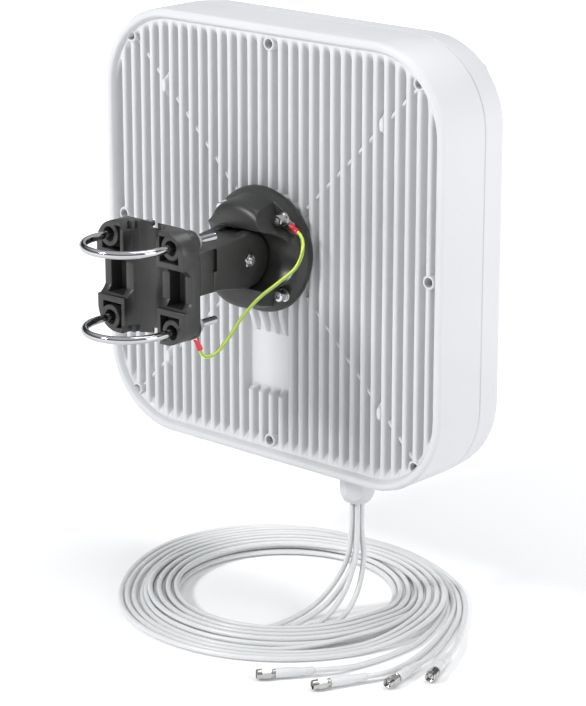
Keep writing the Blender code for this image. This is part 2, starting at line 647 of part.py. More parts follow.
def make_lug(name, ring, normal, along, sleeve_lift, sleeve_run, ring_inner, finish):
    """Ring terminal: a flat ring, a flat tongue along a direction, and a crimp sleeve.

    It returns the end of the sleeve, where the wire leaves.
    """
    ring, normal, along = Vector(ring), Vector(normal), Vector(along).normalized()
    side = normal.cross(along)
    lug = cylinder(name, ring, ring + normal * LUG_THICKNESS, ring_inner + 0.0024, finish, segments=20)
    tongue = box_mesh((0.003, -0.0020, 0.0), (0.0108, 0.0020, LUG_THICKNESS))
    place = Matrix.Translation(ring) @ Matrix((along, side, normal)).transposed().to_4x4()
    bmesh.ops.transform(tongue, matrix=place, verts=tongue.verts)
    start = ring + along * 0.0098 + normal * sleeve_lift
    end = start + Vector(sleeve_run)
    sleeve = cylinder(name + "_sleeve", start, end, 0.0023, segments=14)
    join(lug, mesh_object(name + "_tongue", tongue), sleeve)
    cut(lug, cylinder(name + "_hole", ring - normal * 0.01, ring + normal * 0.01, ring_inner, segments=16))
    return end


def make_earth_bond(lug_finish, wire_finish):
    x, z = EARTHED_SCREW
    u = UBOLT_SPACING / 2
    upper = make_lug("earth_lug_upper", (x, depth_y(RECESS_DEPTH + GAP), z), (0, 1, 0), (-0.93, 0, -0.36),
                     0.0024, (-0.0085, 0.0022, -0.0033), 0.0027, lug_finish)
    lower = make_lug("earth_lug_lower", (-u, depth_y(NUT_SEAT_DEPTH - GAP), -u), (0, -1, 0),
                     (-0.22, 0, -0.97), 0.0012, (-0.0016, -0.0030, -0.0090), 0.0035, lug_finish)
    middle = [Vector((x, depth_y(depth), z)) for x, depth, z in EARTH_ROUTE]
    first, last = Vector((-0.90, 0.24, -0.36)), Vector((-0.16, -0.30, -0.94))
    route = [upper + first * 0.0004, upper + first * 0.0050, *middle,
             lower + last * 0.0050, lower + last * 0.0004]
    wire_curve("earth_wire", smooth_route(route, 0.0055), EARTH_WIRE, wire_finish)


def make_gland(finish, rubber):
    x, y = GLAND_X, depth_y(GLAND_DEPTH)
    wall = -HALF_SIDE
    bore = 0.0078
    body = hexagon("gland_body", (x, y, wall - GAP - 0.0055), (x, y, wall - GAP), 0.0245, finish)
    join(body, cylinder("gland_shank", (x, y, wall - 0.003), (x, y, wall + 0.018), 0.0100))
    cut(body, cylinder("gland_body_bore", (x, y, wall - 0.02), (x, y, wall + 0.03), bore))
    cap_top = wall - 2 * GAP - 0.0055
    face = GLAND_FACE_Z
    cap_profile = [(bore, cap_top), (0.0118, cap_top), (0.0138, cap_top - 0.0015), (0.0138, face + 0.0090),
                   (0.0130, face + 0.0050), (0.0115, face + 0.0020), (0.0090, face), (bore, face)]
    cap = turned("gland_cap", cap_profile, (x, y, 0), (0, 0, 1), finish)
    flats = hexagon("cap_flats", (x, y, cap_top - 0.03), (x, y, cap_top + 0.01), 0.0250)
    boolean(cap, flats, "INTERSECT")
    insert = cylinder("gland_insert", (x, y, GLAND_FACE_Z + 0.0008), (x, y, wall + 0.010), bore - GAP, rubber)
    for i, (dx, dy) in enumerate(cable_offsets()):
        cut(insert, cylinder(f"insert_hole_{i}", (x + dx, y + dy, wall - 0.05), (x + dx, y + dy, wall + 0.03),
                             CABLE / 2 + GAP, segments=12))
    locknut = hexagon("gland_locknut", (x, y, wall + WALL + 0.0015), (x, y, wall + WALL + 0.0075), 0.0260,
                      finish)
    cut(locknut, cylinder("locknut_bore", (x, y, wall - 0.01), (x, y, wall + 0.03), 0.0103))


def cable_offsets():
    """Where the four leads pass the gland, from its axis."""
    d = CABLE_SPREAD
    return [(d, d), (d, -d), (-d, d), (-d, -d)]


def plug_frame(tip, way):
    """The plug's tip, and the unit direction back along its cable."""
    back = -Vector((*way, 0.0)).normalized()
    return Vector((*tip, PLUG_AXIS_Z)), back


def make_drops(finish):
    gland_y = depth_y(GLAND_DEPTH)
    for i, ((dx, dy), route) in enumerate(zip(cable_offsets(), DROP_ROUTES)):
        x, y = GLAND_X + dx, gland_y + dy
        top = [(x, y, GLAND_FACE_Z + 0.012), (x, y, GLAND_FACE_Z), (x, y, GLAND_FACE_Z - 0.006)]
        lower = [(px, py, FLOOR_Z + height) for px, py, height in route]
        wire_curve(f"cable_drop_{i + 1}", smooth_route(top + lower, 0.0095), CABLE, finish)


def make_tails(finish):
    rest = FLOOR_Z + CABLE / 2 + GAP / 2
    for i, (route, tip, way) in enumerate(zip(TAIL_ROUTES, PLUG_TIPS, PLUG_WAYS)):
        origin, back = plug_frame(tip, way)
        floor = [Vector((x, y, rest)) for x, y in route]
        lead_in = origin + back * (PLUG_LENGTH + 0.010)
        sleeve = [origin + back * distance for distance in (PLUG_LENGTH + 0.002, 0.036, PLUG_TAIL)]
        ends = [lead_in, *sleeve]
        wire_curve(f"cable_tail_{i + 1}", smooth_route(floor + ends, 0.0100), CABLE, finish)


def make_plugs(metal, sleeve_finish):
    inner = CABLE / 2 + GAP
    body = [(0, 0.0257), (0.0029, 0.0257), (0.0029, 0.0141), (0.0032, 0.0141), (0.0032, 0.0118),
            (0.0023, 0.0118), (0.0023, 0.0030), (0.00046, 0.0030), (0.00046, 0.0010), (0, 0.0010)]
    sleeve = [(inner, PLUG_LENGTH), (0.0029, PLUG_LENGTH), (0.0031, PLUG_LENGTH - 0.0006), (0.0031, 0.0320),
              (0.0038, 0.0285), (0.0038, 0.0144), (0.0032, 0.0144), (0.0032, 0.0262), (inner, 0.0264)]
    for i, (tip, way) in enumerate(zip(PLUG_TIPS, PLUG_WAYS)):
        origin, back = plug_frame(tip, way)
        turned(f"sma_body_{i + 1}", body, origin, back, metal, 16)
        turned(f"heat_shrink_{i + 1}", sleeve, origin, back, sleeve_finish, 16)
        nut = hexagon(f"sma_nut_{i + 1}", origin + back * 0.0040, origin + back * 0.0115, 0.0080, metal)
        join(nut, cylinder(f"nut_collar_{i}", origin, origin + back * 0.0045, 0.0037, segments=20))
        thread = cylinder(f"nut_thread_{i}", origin - back * 0.001, origin + back * 0.0095, 0.0030,
                          segments=16)
        neck = cylinder(f"nut_neck_{i}", origin + back * 0.009, origin + back * 0.013, 0.0026, segments=16)
        cut(nut, thread, neck)


def make_coil(finish):
    """The shared coil as one turned ring of its outer shape."""
    low, high = FLOOR_Z + GAP, FLOOR_Z + COIL_HEIGHT
    chamfer = 0.004
    profile = [(COIL_INNER, high - chamfer), (COIL_INNER + chamfer, high), (COIL_OUTER - chamfer, high),
               (COIL_OUTER, high - chamfer), (COIL_OUTER, low), (COIL_INNER, low)]
    turned("cable_coil", profile, (*COIL_CENTRE, 0), (0, 0, 1), finish, 48)


def main():
    white = material("white_plastic", WHITE, 0.45)
    dark = material("dark_plastic", DARK, 0.5)
    steel = material("stainless", STEEL, 0.25, 1.0)
    make_back_shell(white)
    make_radome(white)
    make_gasket(dark)
    make_radiators(material("radiator_metal", RADIATOR_METAL, 0.35, 1.0),
                   material("board", (0.05, 0.22, 0.09), 0.5))
    make_cover_screws(steel)
    make_foot_screws(steel)
    make_flange_fork(dark)
    make_tilt_pivot(steel)
    make_arm(dark)
    make_saddle(dark)
    make_ubolts(steel)
    make_ubolt_nuts(steel)
    make_gland(white, dark)
    make_drops(white)
    make_coil(white)
    make_tails(white)
    make_plugs(steel, white)
    make_earth_bond(material("crimp_red", (0.65, 0.02, 0.04), 0.4),
                    material("earth_wire", (0.55, 0.75, 0.08), 0.4))


empty_scene()
PARTS = new_collection("panel_antenna")
CUTTERS = new_collection("cutters")
main()
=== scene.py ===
"""Looks for a directional panel antenna with a tilting pole bracket and four coaxial leads.

Metres, +Z up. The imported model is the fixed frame, and every piece here is built round it.
"""

import logging
import math
from collections.abc import Callable, Iterable, Sequence
from dataclasses import dataclass, field
from enum import Enum

import bpy
from mathutils import Matrix, Vector


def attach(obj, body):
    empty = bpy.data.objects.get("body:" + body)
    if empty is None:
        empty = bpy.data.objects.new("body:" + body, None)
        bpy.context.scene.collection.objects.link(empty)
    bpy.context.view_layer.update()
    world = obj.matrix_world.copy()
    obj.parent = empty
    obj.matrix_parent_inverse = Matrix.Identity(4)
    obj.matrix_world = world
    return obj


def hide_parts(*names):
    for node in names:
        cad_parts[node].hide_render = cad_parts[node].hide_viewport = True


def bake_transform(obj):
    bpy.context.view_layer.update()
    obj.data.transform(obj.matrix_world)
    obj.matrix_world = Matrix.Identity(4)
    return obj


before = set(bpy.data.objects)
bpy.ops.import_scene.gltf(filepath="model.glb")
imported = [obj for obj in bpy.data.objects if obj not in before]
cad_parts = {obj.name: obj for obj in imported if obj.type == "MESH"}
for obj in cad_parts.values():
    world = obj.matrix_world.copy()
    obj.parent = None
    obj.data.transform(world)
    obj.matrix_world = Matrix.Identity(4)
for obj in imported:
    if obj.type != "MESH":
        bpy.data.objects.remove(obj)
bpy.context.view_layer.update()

LOG = logging.getLogger("panel_antenna")

Object = bpy.types.Object
Point = tuple[float, float, float]
Flat = tuple[float, float]

BOSS_PLANE_Y = -0.160
FLOOR_Z = -0.2947
BODY_BRACKET = "bracket"
BODY_PANEL = "panel"


def depth_point(x: float, depth: float, z: float) -> Vector:
    """A point given by how far it lies behind the housing's screw bosses."""
    return Vector((x, BOSS_PLANE_Y + depth, z))


# --------------------------------------------------------------------------- finishes


class Grain(Enum):
    """How a surface's fine relief runs."""

    EVEN = (1.0, 1.0, 1.0)
    ALONG_X = (0.03, 1.0, 1.0)
    ALONG_Y = (1.0, 0.03, 1.0)
    ALONG_Z = (1.0, 1.0, 0.03)


class ShaderSheet:
    """One material's node tree, with short ways to add and join nodes."""

    def __init__(self, name: str) -> None:
        """Start a node material.

        Args:
            name: the material's name.
        """
        self.material = bpy.data.materials.new(name)
        self.material.use_nodes = True
        self.tree = self.material.node_tree
        self.shader = self.tree.nodes["Principled BSDF"]
        self.place = self.add("ShaderNodeTexCoord").outputs["Object"]

    def add(self, kind: str, **values: object) -> bpy.types.Node:
        """Add a node and set its properties.

        Args:
            kind: the node's type name.
            values: properties of the node, or input sockets by name with _ for a space.

        Returns:
            The node.
        """
        node = self.tree.nodes.new(kind)
        for key, value in values.items():
            if hasattr(node, key):
                setattr(node, key, value)
            else:
                node.inputs[key.replace("_", " ")].default_value = value
        return node

    def link(self, output: bpy.types.NodeSocket, node: bpy.types.Node, socket: str | int) -> None:
        """Join an output to a node's input."""
        self.tree.links.new(output, node.inputs[socket])

    def noise(self, scale: float, detail: float, grain: Grain = Grain.EVEN,
              source: bpy.types.NodeSocket | None = None) -> bpy.types.NodeSocket:
        """A noise value between 0 and 1.

        Args:
            scale: cells per metre.
            detail: octaves of detail.
            grain: the way in which the noise is drawn out.
            source: coordinates, or None for the object's own.

        Returns:
            The noise's value socket.
        """
        mapping = self.add("ShaderNodeMapping")
        mapping.inputs["Scale"].default_value = grain.value
        self.link(source or self.place, mapping, "Vector")
        node = self.add("ShaderNodeTexNoise", Scale=scale, Detail=detail)
        self.link(mapping.outputs["Vector"], node, "Vector")
        return node.outputs["Fac"]

    def spread(self, value: bpy.types.NodeSocket, low: float, high: float,
               start: float = 0.3, stop: float = 0.7) -> bpy.types.NodeSocket:
        """Stretch a value onto a range.

        Args:
            value: the socket to stretch.
            low: the result at start.
            high: the result at stop.
            start: where the stretch begins.
            stop: where it ends.

        Returns:
            The stretched value's socket.
        """
        node = self.add("ShaderNodeMapRange")
        self.link(value, node, 0)
        for index, number in enumerate((start, stop, low, high), 1):
            node.inputs[index].default_value = number
        return node.outputs[0]

    def mix(self, share: bpy.types.NodeSocket, first: Sequence[float],
            second: Sequence[float] | bpy.types.NodeSocket) -> bpy.types.NodeSocket:
        """Mix two colours.

        Args:
            share: how much of the second colour shows.
            first: the first colour, or its socket.
            second: the second colour, or its socket.

        Returns:
            The mixed colour's socket.
        """
        node = self.add("ShaderNodeMix", data_type="RGBA")
        self.link(share, node, 0)
        for index, color in ((6, first), (7, second)):
            if isinstance(color, bpy.types.NodeSocket):
                self.link(color, node, index)
            else:
                node.inputs[index].default_value = (*color, 1.0)
        return node.outputs[2]

    def relief(self, height: bpy.types.NodeSocket, distance: float, strength: float = 1.0,
               edge: float = 0.0) -> None:
        """Give the shader a bump, and rounded edges where they are wanted.

        Args:
            height: the relief's height socket, from 0 to 1.
            distance: the relief's depth in metres.
            strength: how strongly it shows.
            edge: the radius of the rounding on edges, or 0 for none.
        """
        bump = self.add("ShaderNodeBump", Strength=strength, Distance=distance)
        self.link(height, bump, "Height")
        if edge:
            rounding = self.add("ShaderNodeBevel", samples=6, Radius=edge)
            self.link(rounding.outputs["Normal"], bump, "Normal")
        self.link(bump.outputs["Normal"], self.shader, "Normal")

    def joined(self, first: bpy.types.NodeSocket, second: bpy.types.NodeSocket,
               operation: str = "ADD") -> bpy.types.NodeSocket:
        """Join two values with a maths operation.

        Args:
            first: the first value's socket.
            second: the second value's socket.
            operation: the maths node's operation.

        Returns:
            The result's socket.
        """
        node = self.add("ShaderNodeMath", operation=operation)
        self.link(first, node, 0)
        self.link(second, node, 1)
        return node.outputs[0]


def tint(color: Sequence[float], factor: float) -> tuple[float, float, float]:
    """A colour made lighter or darker."""
    return tuple(min(1.0, part * factor) for part in color)


@dataclass(frozen=True)
class MouldedPlastic:
    """Injection-moulded plastic with a spark-eroded texture and faint flow marks."""

    name: str
    color: tuple[float, float, float]
    roughness: float
    texture: float = 1500.0
    texture_depth: float = 0.00004
    mottling: float = 0.03
    coat: float = 0.0
    edge: float = 0.0

    def make(self) -> bpy.types.Material:
        """Build the node material.

        Returns:
            The material.
        """
        sheet = ShaderSheet(self.name)
        cloud = sheet.spread(sheet.noise(9.0, 3.0), 0.0, 1.0)
        color = sheet.mix(cloud, tint(self.color, 1.0 - self.mottling), self.color)
        speck = sheet.spread(sheet.noise(self.texture * 0.5, 2.0), 0.0, 1.0, 0.62, 0.75)
        color = sheet.mix(speck, color, tint(self.color, 1.0 + self.mottling))
        sheet.link(color, sheet.shader, "Base Color")
        gloss = sheet.spread(sheet.noise(60.0, 4.0), self.roughness - 0.06, self.roughness + 0.06)
        sheet.link(gloss, sheet.shader, "Roughness")
        fine = sheet.noise(self.texture, 4.0)
        flow = sheet.noise(70.0, 2.0, Grain.ALONG_Z)
        sheet.relief(sheet.joined(fine, flow), self.texture_depth, 0.6, self.edge)
        sheet.shader.inputs["Coat Weight"].default_value = self.coat
        sheet.shader.inputs["Coat Roughness"].default_value = 0.25
        return sheet.material


@dataclass(frozen=True)
class DrawnSteel:
    """Metal with fine drawing lines, faint smears and small scratches."""

    name: str
    color: tuple[float, float, float]
    roughness: float
    grain: Grain = Grain.EVEN
    lines: float = 2500.0
    line_depth: float = 0.000012

    def make(self) -> bpy.types.Material:
        """Build the node material.

        Returns:
            The material.
        """
        sheet = ShaderSheet(self.name)
        sheet.shader.inputs["Metallic"].default_value = 1.0
        smear = sheet.spread(sheet.noise(45.0, 4.0), 0.0, 1.0)
        color = sheet.mix(smear, tint(self.color, 0.93), self.color)
        sheet.link(color, sheet.shader, "Base Color")
        line = sheet.noise(self.lines, 3.0, self.grain)
        gloss = sheet.joined(
            sheet.spread(line, self.roughness * 0.7, self.roughness * 1.3),
            sheet.spread(sheet.noise(140.0, 3.0), -0.02, 0.05),
        )
        sheet.link(gloss, sheet.shader, "Roughness")
        sheet.relief(line, self.line_depth, 0.5)
        return sheet.material


@dataclass(frozen=True)
class CableJacket:
    """Smooth extruded jacket with a soft gloss and faint handling marks."""

    name: str
    color: tuple[float, float, float]
    roughness: float = 0.36

    def make(self) -> bpy.types.Material:
        """Build the node material.

        Returns:
            The material.
        """
        sheet = ShaderSheet(self.name)
        mark = sheet.spread(sheet.noise(30.0, 5.0), 0.0, 1.0)
        sheet.link(sheet.mix(mark, tint(self.color, 0.95), self.color), sheet.shader, "Base Color")
        gloss = sheet.spread(sheet.noise(220.0, 3.0), self.roughness - 0.07, self.roughness + 0.07)
        sheet.link(gloss, sheet.shader, "Roughness")
        sheet.relief(sheet.noise(900.0, 3.0), 0.00002, 0.5)
        sheet.shader.inputs["Subsurface Weight"].default_value = 0.08
        sheet.shader.inputs["Subsurface Radius"].default_value = (0.002, 0.002, 0.0018)
        sheet.shader.inputs["Coat Weight"].default_value = 0.15
        return sheet.material


@dataclass(frozen=True)
class StripedInsulation:
    """Two-colour wire insulation with stripes that run along it."""

    name: str
    ground: tuple[float, float, float]
    stripe: tuple[float, float, float]
    stripes: int = 2

    def make(self) -> bpy.types.Material:
        """Build the node material.

        Returns:
            The material.
        """
        sheet = ShaderSheet(self.name)
        around = sheet.add("ShaderNodeAttribute", attribute_name="around").outputs["Fac"]
        wave = sheet.add("ShaderNodeMath", operation="PINGPONG")
        sheet.link(around, wave, 0)
        wave.inputs[1].default_value = 0.5 / self.stripes
        edge = 0.25 / self.stripes
        share = sheet.spread(wave.outputs[0], 0.0, 1.0, edge * 1.16, edge * 1.24)
        sheet.link(sheet.mix(share, self.ground, self.stripe), sheet.shader, "Base Color")
        gloss = sheet.spread(sheet.noise(260.0, 3.0), 0.3, 0.42)
        sheet.link(gloss, sheet.shader, "Roughness")
        sheet.relief(sheet.noise(1200.0, 3.0), 0.00002, 0.5)
        sheet.shader.inputs["Coat Weight"].default_value = 0.2
        return sheet.material


@dataclass(frozen=True)
class PrintedBoard:
    """Circuit board with a weave under its solder mask."""

    name: str = "solder_mask"
    color: tuple[float, float, float] = (0.03, 0.17, 0.07)

    def make(self) -> bpy.types.Material:
        """Build the node material.

        Returns:
            The material.
        """
        sheet = ShaderSheet(self.name)
        weave = sheet.joined(sheet.noise(900.0, 1.0, Grain.ALONG_X),
                             sheet.noise(900.0, 1.0, Grain.ALONG_Z), "MULTIPLY")
        sheet.link(sheet.mix(sheet.spread(weave, 0.0, 1.0, 0.1, 0.45), self.color,
                             tint(self.color, 1.5)), sheet.shader, "Base Color")
        sheet.link(sheet.spread(weave, 0.3, 0.5, 0.1, 0.4), sheet.shader, "Roughness")
        sheet.relief(weave, 0.00003, 0.5)
        return sheet.material


@dataclass(frozen=True)
class FloorPaint:
    """Pale seamless floor with a faint mottle, and a painted glow that is dim near the object and bright far
    away.
    """

    name: str = "studio_floor"
    color: tuple[float, float, float] = (0.90, 0.90, 0.905)
    # Strength of the floor's painted glow near the object and far from it.
    painted_glow_near: float = 0.06
    painted_glow_far: float = 0.75

    def make(self) -> bpy.types.Material:
        """Build the node material.

        Returns:
            The material.
        """
        sheet = ShaderSheet(self.name)
        cloud = sheet.spread(sheet.noise(3.0, 2.0), 0.0, 1.0)
        sheet.link(sheet.mix(cloud, tint(self.color, 0.99), self.color), sheet.shader, "Base Color")
        sheet.shader.inputs["Roughness"].default_value = 0.6
        # Painted light: the floor glows though it is no lamp. It is faint near the object so its contact
        # shadows show, and bright in the far background. The glow also lights the object from below.
        sheet.shader.inputs["Emission Color"].default_value = (1.0, 1.0, 1.0, 1.0)
        away = sheet.add("ShaderNodeVectorMath", operation="LENGTH")
        sheet.link(sheet.place, away, 0)
        glow = sheet.spread(away.outputs["Value"], self.painted_glow_near, self.painted_glow_far, 0.45, 2.2)
        sheet.link(glow, sheet.shader, "Emission Strength")
        return sheet.material


class Palette:
    """Every finish of the object, made once."""

    def __init__(self) -> None:
        """Build the materials."""
        white = (0.60, 0.605, 0.615)
        self.housing = MouldedPlastic("housing_plastic", white, 0.42, coat=0.08).make()
        self.charcoal = MouldedPlastic("bracket_plastic", (0.021, 0.021, 0.0195), 0.38, texture=1100.0,
                                       texture_depth=0.00004, mottling=0.12, edge=0.0009).make()
        self.radome = MouldedPlastic("radome_plastic", (0.60, 0.605, 0.62), 0.40, coat=0.08).make()
        self.gland = MouldedPlastic("gland_plastic", (0.62, 0.625, 0.635), 0.36).make()
        self.rubber = MouldedPlastic("seal_rubber", (0.03, 0.03, 0.03), 0.7, mottling=0.1).make()
        self.sleeve = MouldedPlastic("heat_shrink_sleeve", (0.66, 0.665, 0.67), 0.33,
                                     texture=500.0, texture_depth=0.00005).make()
        self.crimp = MouldedPlastic("crimp_sleeve", (0.62, 0.012, 0.03), 0.3, mottling=0.1,
                                    coat=0.3).make()
        self.jacket = CableJacket("cable_jacket", (0.69, 0.695, 0.70)).make()
        self.earth = StripedInsulation("earth_insulation", (0.74, 0.80, 0.10), (0.22, 0.42, 0.06)).make()
        self.steel = DrawnSteel("polished_steel", (0.50, 0.50, 0.51), 0.06).make()
        self.screw = DrawnSteel("screw_steel", (0.60, 0.60, 0.60), 0.18).make()
        self.nickel = DrawnSteel("nickel_plate", (0.52, 0.515, 0.50), 0.17).make()
        self.tin = DrawnSteel("tinned_copper", (0.76, 0.76, 0.75), 0.3).make()
        self.sheet_metal = DrawnSteel("rolled_sheet", (0.8, 0.81, 0.82), 0.32, Grain.ALONG_X).make()
        self.board = PrintedBoard().make()
        self.floor = FloorPaint().make()


# --------------------------------------------------------------------------- workbench


class Bench:
    """Modelling moves, made with Blender's own operators."""

    @staticmethod
    def clear() -> None:
        """Leave nothing selected."""
        if bpy.context.object and bpy.context.object.mode != "OBJECT":
            bpy.ops.object.mode_set(mode="OBJECT")
        bpy.ops.object.select_all(action="DESELECT")

    @staticmethod
    def pick(*objects: Object) -> None:
        """Select objects, the first of them active.

        Args:
            objects: the objects to select.
        """
        Bench.clear()
        for obj in objects:
            obj.select_set(True)
        bpy.context.view_layer.objects.active = objects[0]

    @staticmethod
    def settled(name: str) -> Object:
        """Name the new active object and put its place into its mesh.

        Args:
            name: the new name.

        Returns:
            The object.
        """
        obj = bpy.context.object
        obj.name = obj.data.name = name
        bpy.ops.object.transform_apply(location=True, rotation=True, scale=True)
        return obj

    @staticmethod
    def block(name: str, low: Sequence[float], high: Sequence[float]) -> Object:
        """A box between two corners.

        Args:
            name: the object's name.
            low: the lowest corner.
            high: the highest corner.

        Returns:
            The box.
        """
        Bench.clear()
        low, high = Vector(low), Vector(high)
        bpy.ops.mesh.primitive_cube_add(size=1.0, location=(low + high) / 2, scale=high - low)
        return Bench.settled(name)

    @staticmethod
    def rod(name: str, start: Sequence[float], end: Sequence[float], radius: float,
            end_radius: float | None = None, vertices: int = 48) -> Object:
        """A cylinder or cone between two points.

        Args:
            name: the object's name.
            start: the axis's start.
            end: the axis's end.
            radius: the radius at the start.
            end_radius: the radius at the end, or None for the same.
            vertices: the number of sides.

        Returns:
            The object.
        """
        Bench.clear()
        start, end = Vector(start), Vector(end)
        bpy.ops.mesh.primitive_cone_add(
            vertices=vertices, radius1=radius, radius2=radius if end_radius is None else end_radius,
            depth=(end - start).length, location=(start + end) / 2,
            rotation=(end - start).to_track_quat("Z", "Y").to_euler(),
        )
        return Bench.settled(name)

    @staticmethod
    def loop(name: str, points: Sequence[Sequence[float]], filled: bool) -> Object:
        """A closed outline through points, as a face or as bare edges.

        Args:
            name: the object's name.
            points: the outline's points in order.
            filled: True for a face, False for edges alone.

        Returns:
            The outline.
        """
        Bench.clear()
        bpy.ops.mesh.primitive_circle_add(vertices=len(points), fill_type="NGON" if filled else "NOTHING")
        obj = Bench.settled(name)
        for vertex, point in zip(obj.data.vertices, points):
            vertex.co = point
        return obj

    @staticmethod
    def edit(obj: Object) -> None:
        """Enter edit mode with all of one object selected.

        Args:
            obj: the object.
        """
        Bench.pick(obj)
        bpy.ops.object.mode_set(mode="EDIT")
        bpy.ops.mesh.select_all(action="SELECT")

    @staticmethod
    def done() -> None:
        """Leave edit mode."""
        bpy.ops.object.mode_set(mode="OBJECT")

    @staticmethod
    def tidy(obj: Object) -> Object:
        """Merge doubles and turn every face outwards.

        Args:
            obj: the object.

        Returns:
            The same object.
        """
        Bench.edit(obj)
        bpy.ops.mesh.remove_doubles(threshold=0.000005)
        bpy.ops.mesh.dissolve_degenerate(threshold=0.000001)
        bpy.ops.mesh.normals_make_consistent(inside=False)
        Bench.done()
        return obj

    @staticmethod
    def lathe(name: str, profile: Sequence[Flat], origin: Sequence[float],
              direction: Sequence[float], steps: int = 64) -> Object:
        """Spin a closed profile about an axis.

        Args:
            name: the object's name.
            profile: (radius, height) points round the section.
            origin: the point on the axis at height 0.
            direction: the way in which height runs.
            steps: the number of sides.

        Returns:
            The turned object.
        """
        obj = Bench.loop(name, [(radius, 0.0, height) for radius, height in profile], False)
        Bench.edit(obj)
        bpy.ops.mesh.spin(steps=steps, angle=math.tau, center=(0, 0, 0), axis=(0, 0, 1))
        Bench.done()
        Bench.tidy(obj)
        turn = Vector(direction).normalized().to_track_quat("Z", "Y").to_matrix().to_4x4()
        obj.data.transform(Matrix.Translation(Vector(origin)) @ turn)
        return obj

    @staticmethod
    def extrusion(name: str, outline: Sequence[Sequence[float]], run: Sequence[float]) -> Object:
        """Extrude a flat outline.

        Args:
            name: the object's name.
            outline: the outline's points.
            run: the way and length of the extrusion.

        Returns:
            The solid.
        """
        obj = Bench.loop(name, outline, True)
        Bench.edit(obj)
        bpy.ops.mesh.extrude_region_move(TRANSFORM_OT_translate={"value": Vector(run)})
        Bench.done()
        return Bench.tidy(obj)

    @staticmethod
    def choose_edges(obj: Object, test: Callable[[Vector, Vector], bool]) -> None:
        """Enter edit mode with only the edges that pass a test selected.

        Args:
            obj: the object.
            test: says from an edge's two ends whether it is wanted.
        """
        Bench.edit(obj)
        bpy.ops.mesh.select_mode(type="EDGE")
        bpy.ops.mesh.select_all(action="DESELECT")
        Bench.done()
        points = obj.data.vertices
        for edge in obj.data.edges:
            edge.select = test(points[edge.vertices[0]].co, points[edge.vertices[1]].co)
        bpy.ops.object.mode_set(mode="EDIT")

    @staticmethod
    def round_edges(obj: Object, test: Callable[[Vector, Vector], bool], radius: float,
                    segments: int) -> Object:
        """Bevel the edges that pass a test.

        Args:
            obj: the object.
            test: says from an edge's two ends whether it is wanted.
            radius: the bevel's width.
            segments: the bevel's steps.

        Returns:
            The same object.
        """
        Bench.choose_edges(obj, test)
        bpy.ops.mesh.bevel(offset=radius, segments=segments, affect="EDGES", clamp_overlap=False)
        Bench.done()
        return obj

    @staticmethod
    def apply(obj: Object, kind: str, **values: object) -> Object:
        """Add a modifier, set it and apply it.

        Args:
            obj: the object.
            kind: the modifier's type.
            values: the modifier's properties.

        Returns:
            The same object.
        """
        Bench.pick(obj)
        modifier = obj.modifiers.new(kind.title(), kind)
        for key, value in values.items():
            setattr(modifier, key, value)
        bpy.ops.object.modifier_apply(modifier=modifier.name)
        return obj

    @staticmethod
    def combine(obj: Object, operation: str, tools: Iterable[Object]) -> Object:
        """Join or cut an object with tools, which are used up.

        Args:
            obj: the object.
            operation: the boolean's operation.
            tools: the solids to join or cut with.

        Returns:
            The same object.
        """
        for tool in tools:
            Bench.apply(obj, "BOOLEAN", operation=operation, object=tool, solver="EXACT")
            bpy.data.objects.remove(tool)
        return obj

    @staticmethod
    def cut(obj: Object, *tools: Object) -> Object:
        """Cut tools out of an object."""
        return Bench.combine(obj, "DIFFERENCE", tools)

    @staticmethod
    def join(obj: Object, *tools: Object) -> Object:
        """Unite tools with an object."""
        return Bench.combine(obj, "UNION", tools)

    @staticmethod
    def shade(obj: Object, angle: float = 32.0) -> Object:
        """Smooth shading up to an angle.

        Args:
            obj: the object.
            angle: the sharpest angle in degrees that is smoothed.

        Returns:
            The same object.
        """
        Bench.pick(obj)
        bpy.ops.object.shade_smooth_by_angle(angle=math.radians(angle))
        return obj

    @staticmethod
    def copy(obj: Object, name: str, place: Matrix) -> Object:
        """A copy with its own mesh, moved by a matrix.

        Args:
            obj: the object.
            name: the copy's name.
            place: the copy's move.

        Returns:
            The copy.
        """
        twin = obj.copy()
        twin.data = obj.data.copy()
        twin.name = twin.data.name = name
        bpy.context.scene.collection.objects.link(twin)
        twin.data.transform(place)
        return twin

    @staticmethod
    def repeated(pattern: Object, names: Sequence[str], places: Sequence[Matrix]) -> list[Object]:
        """Copy a finished piece to each place and use the piece up.

        Args:
            pattern: the finished piece.
            names: a name for each copy.
            places: a move for each copy.

        Returns:
            The copies, each with its own mesh.
        """
        copies = [Bench.copy(pattern, name, place) for name, place in zip(names, places)]
        bpy.data.objects.remove(pattern)
        return copies

    @staticmethod
    def merged(name: str, pieces: Sequence[Object]) -> Object:
        """Join separate pieces into one object.

        Args:
            name: the joined object's name.
            pieces: the pieces, which are used up.

        Returns:
            The joined object.
        """
        Bench.pick(*pieces)
        bpy.ops.object.join()
        obj = bpy.context.object
        obj.name = obj.data.name = name
        return obj

    @staticmethod
    def hexagon(name: str, start: Sequence[float], end: Sequence[float], across_flats: float,
                turn: float = 0.0) -> Object:
        """A hexagonal prism between two points.

        Args:
            name: the object's name.
            start: the axis's start.
            end: the axis's end.
            across_flats: its width across flats.
            turn: its turn about the axis in degrees.

        Returns:
            The prism.
        """
        obj = Bench.rod(name, start, end, across_flats / math.sqrt(3), vertices=6)
        start, end = Vector(start), Vector(end)
        spin = Matrix.Rotation(math.radians(turn), 4, end - start)
        obj.data.transform(Matrix.Translation(start) @ spin @ Matrix.Translation(-start))
        return obj

    @staticmethod
    def moved_on(obj: Object, before: Sequence[Vector], after: Sequence[Vector]) -> None:
        """Put the selected copy of one ring of points where the next ring lies.

        Args:
            obj: the object.
            before: the points where the copy lies now.
            after: the points where it goes.
        """
        for vertex in obj.data.vertices:
            if vertex.select:
                index = min(range(len(before)), key=lambda i: (before[i] - vertex.co).length_squared)
                vertex.co = after[index]

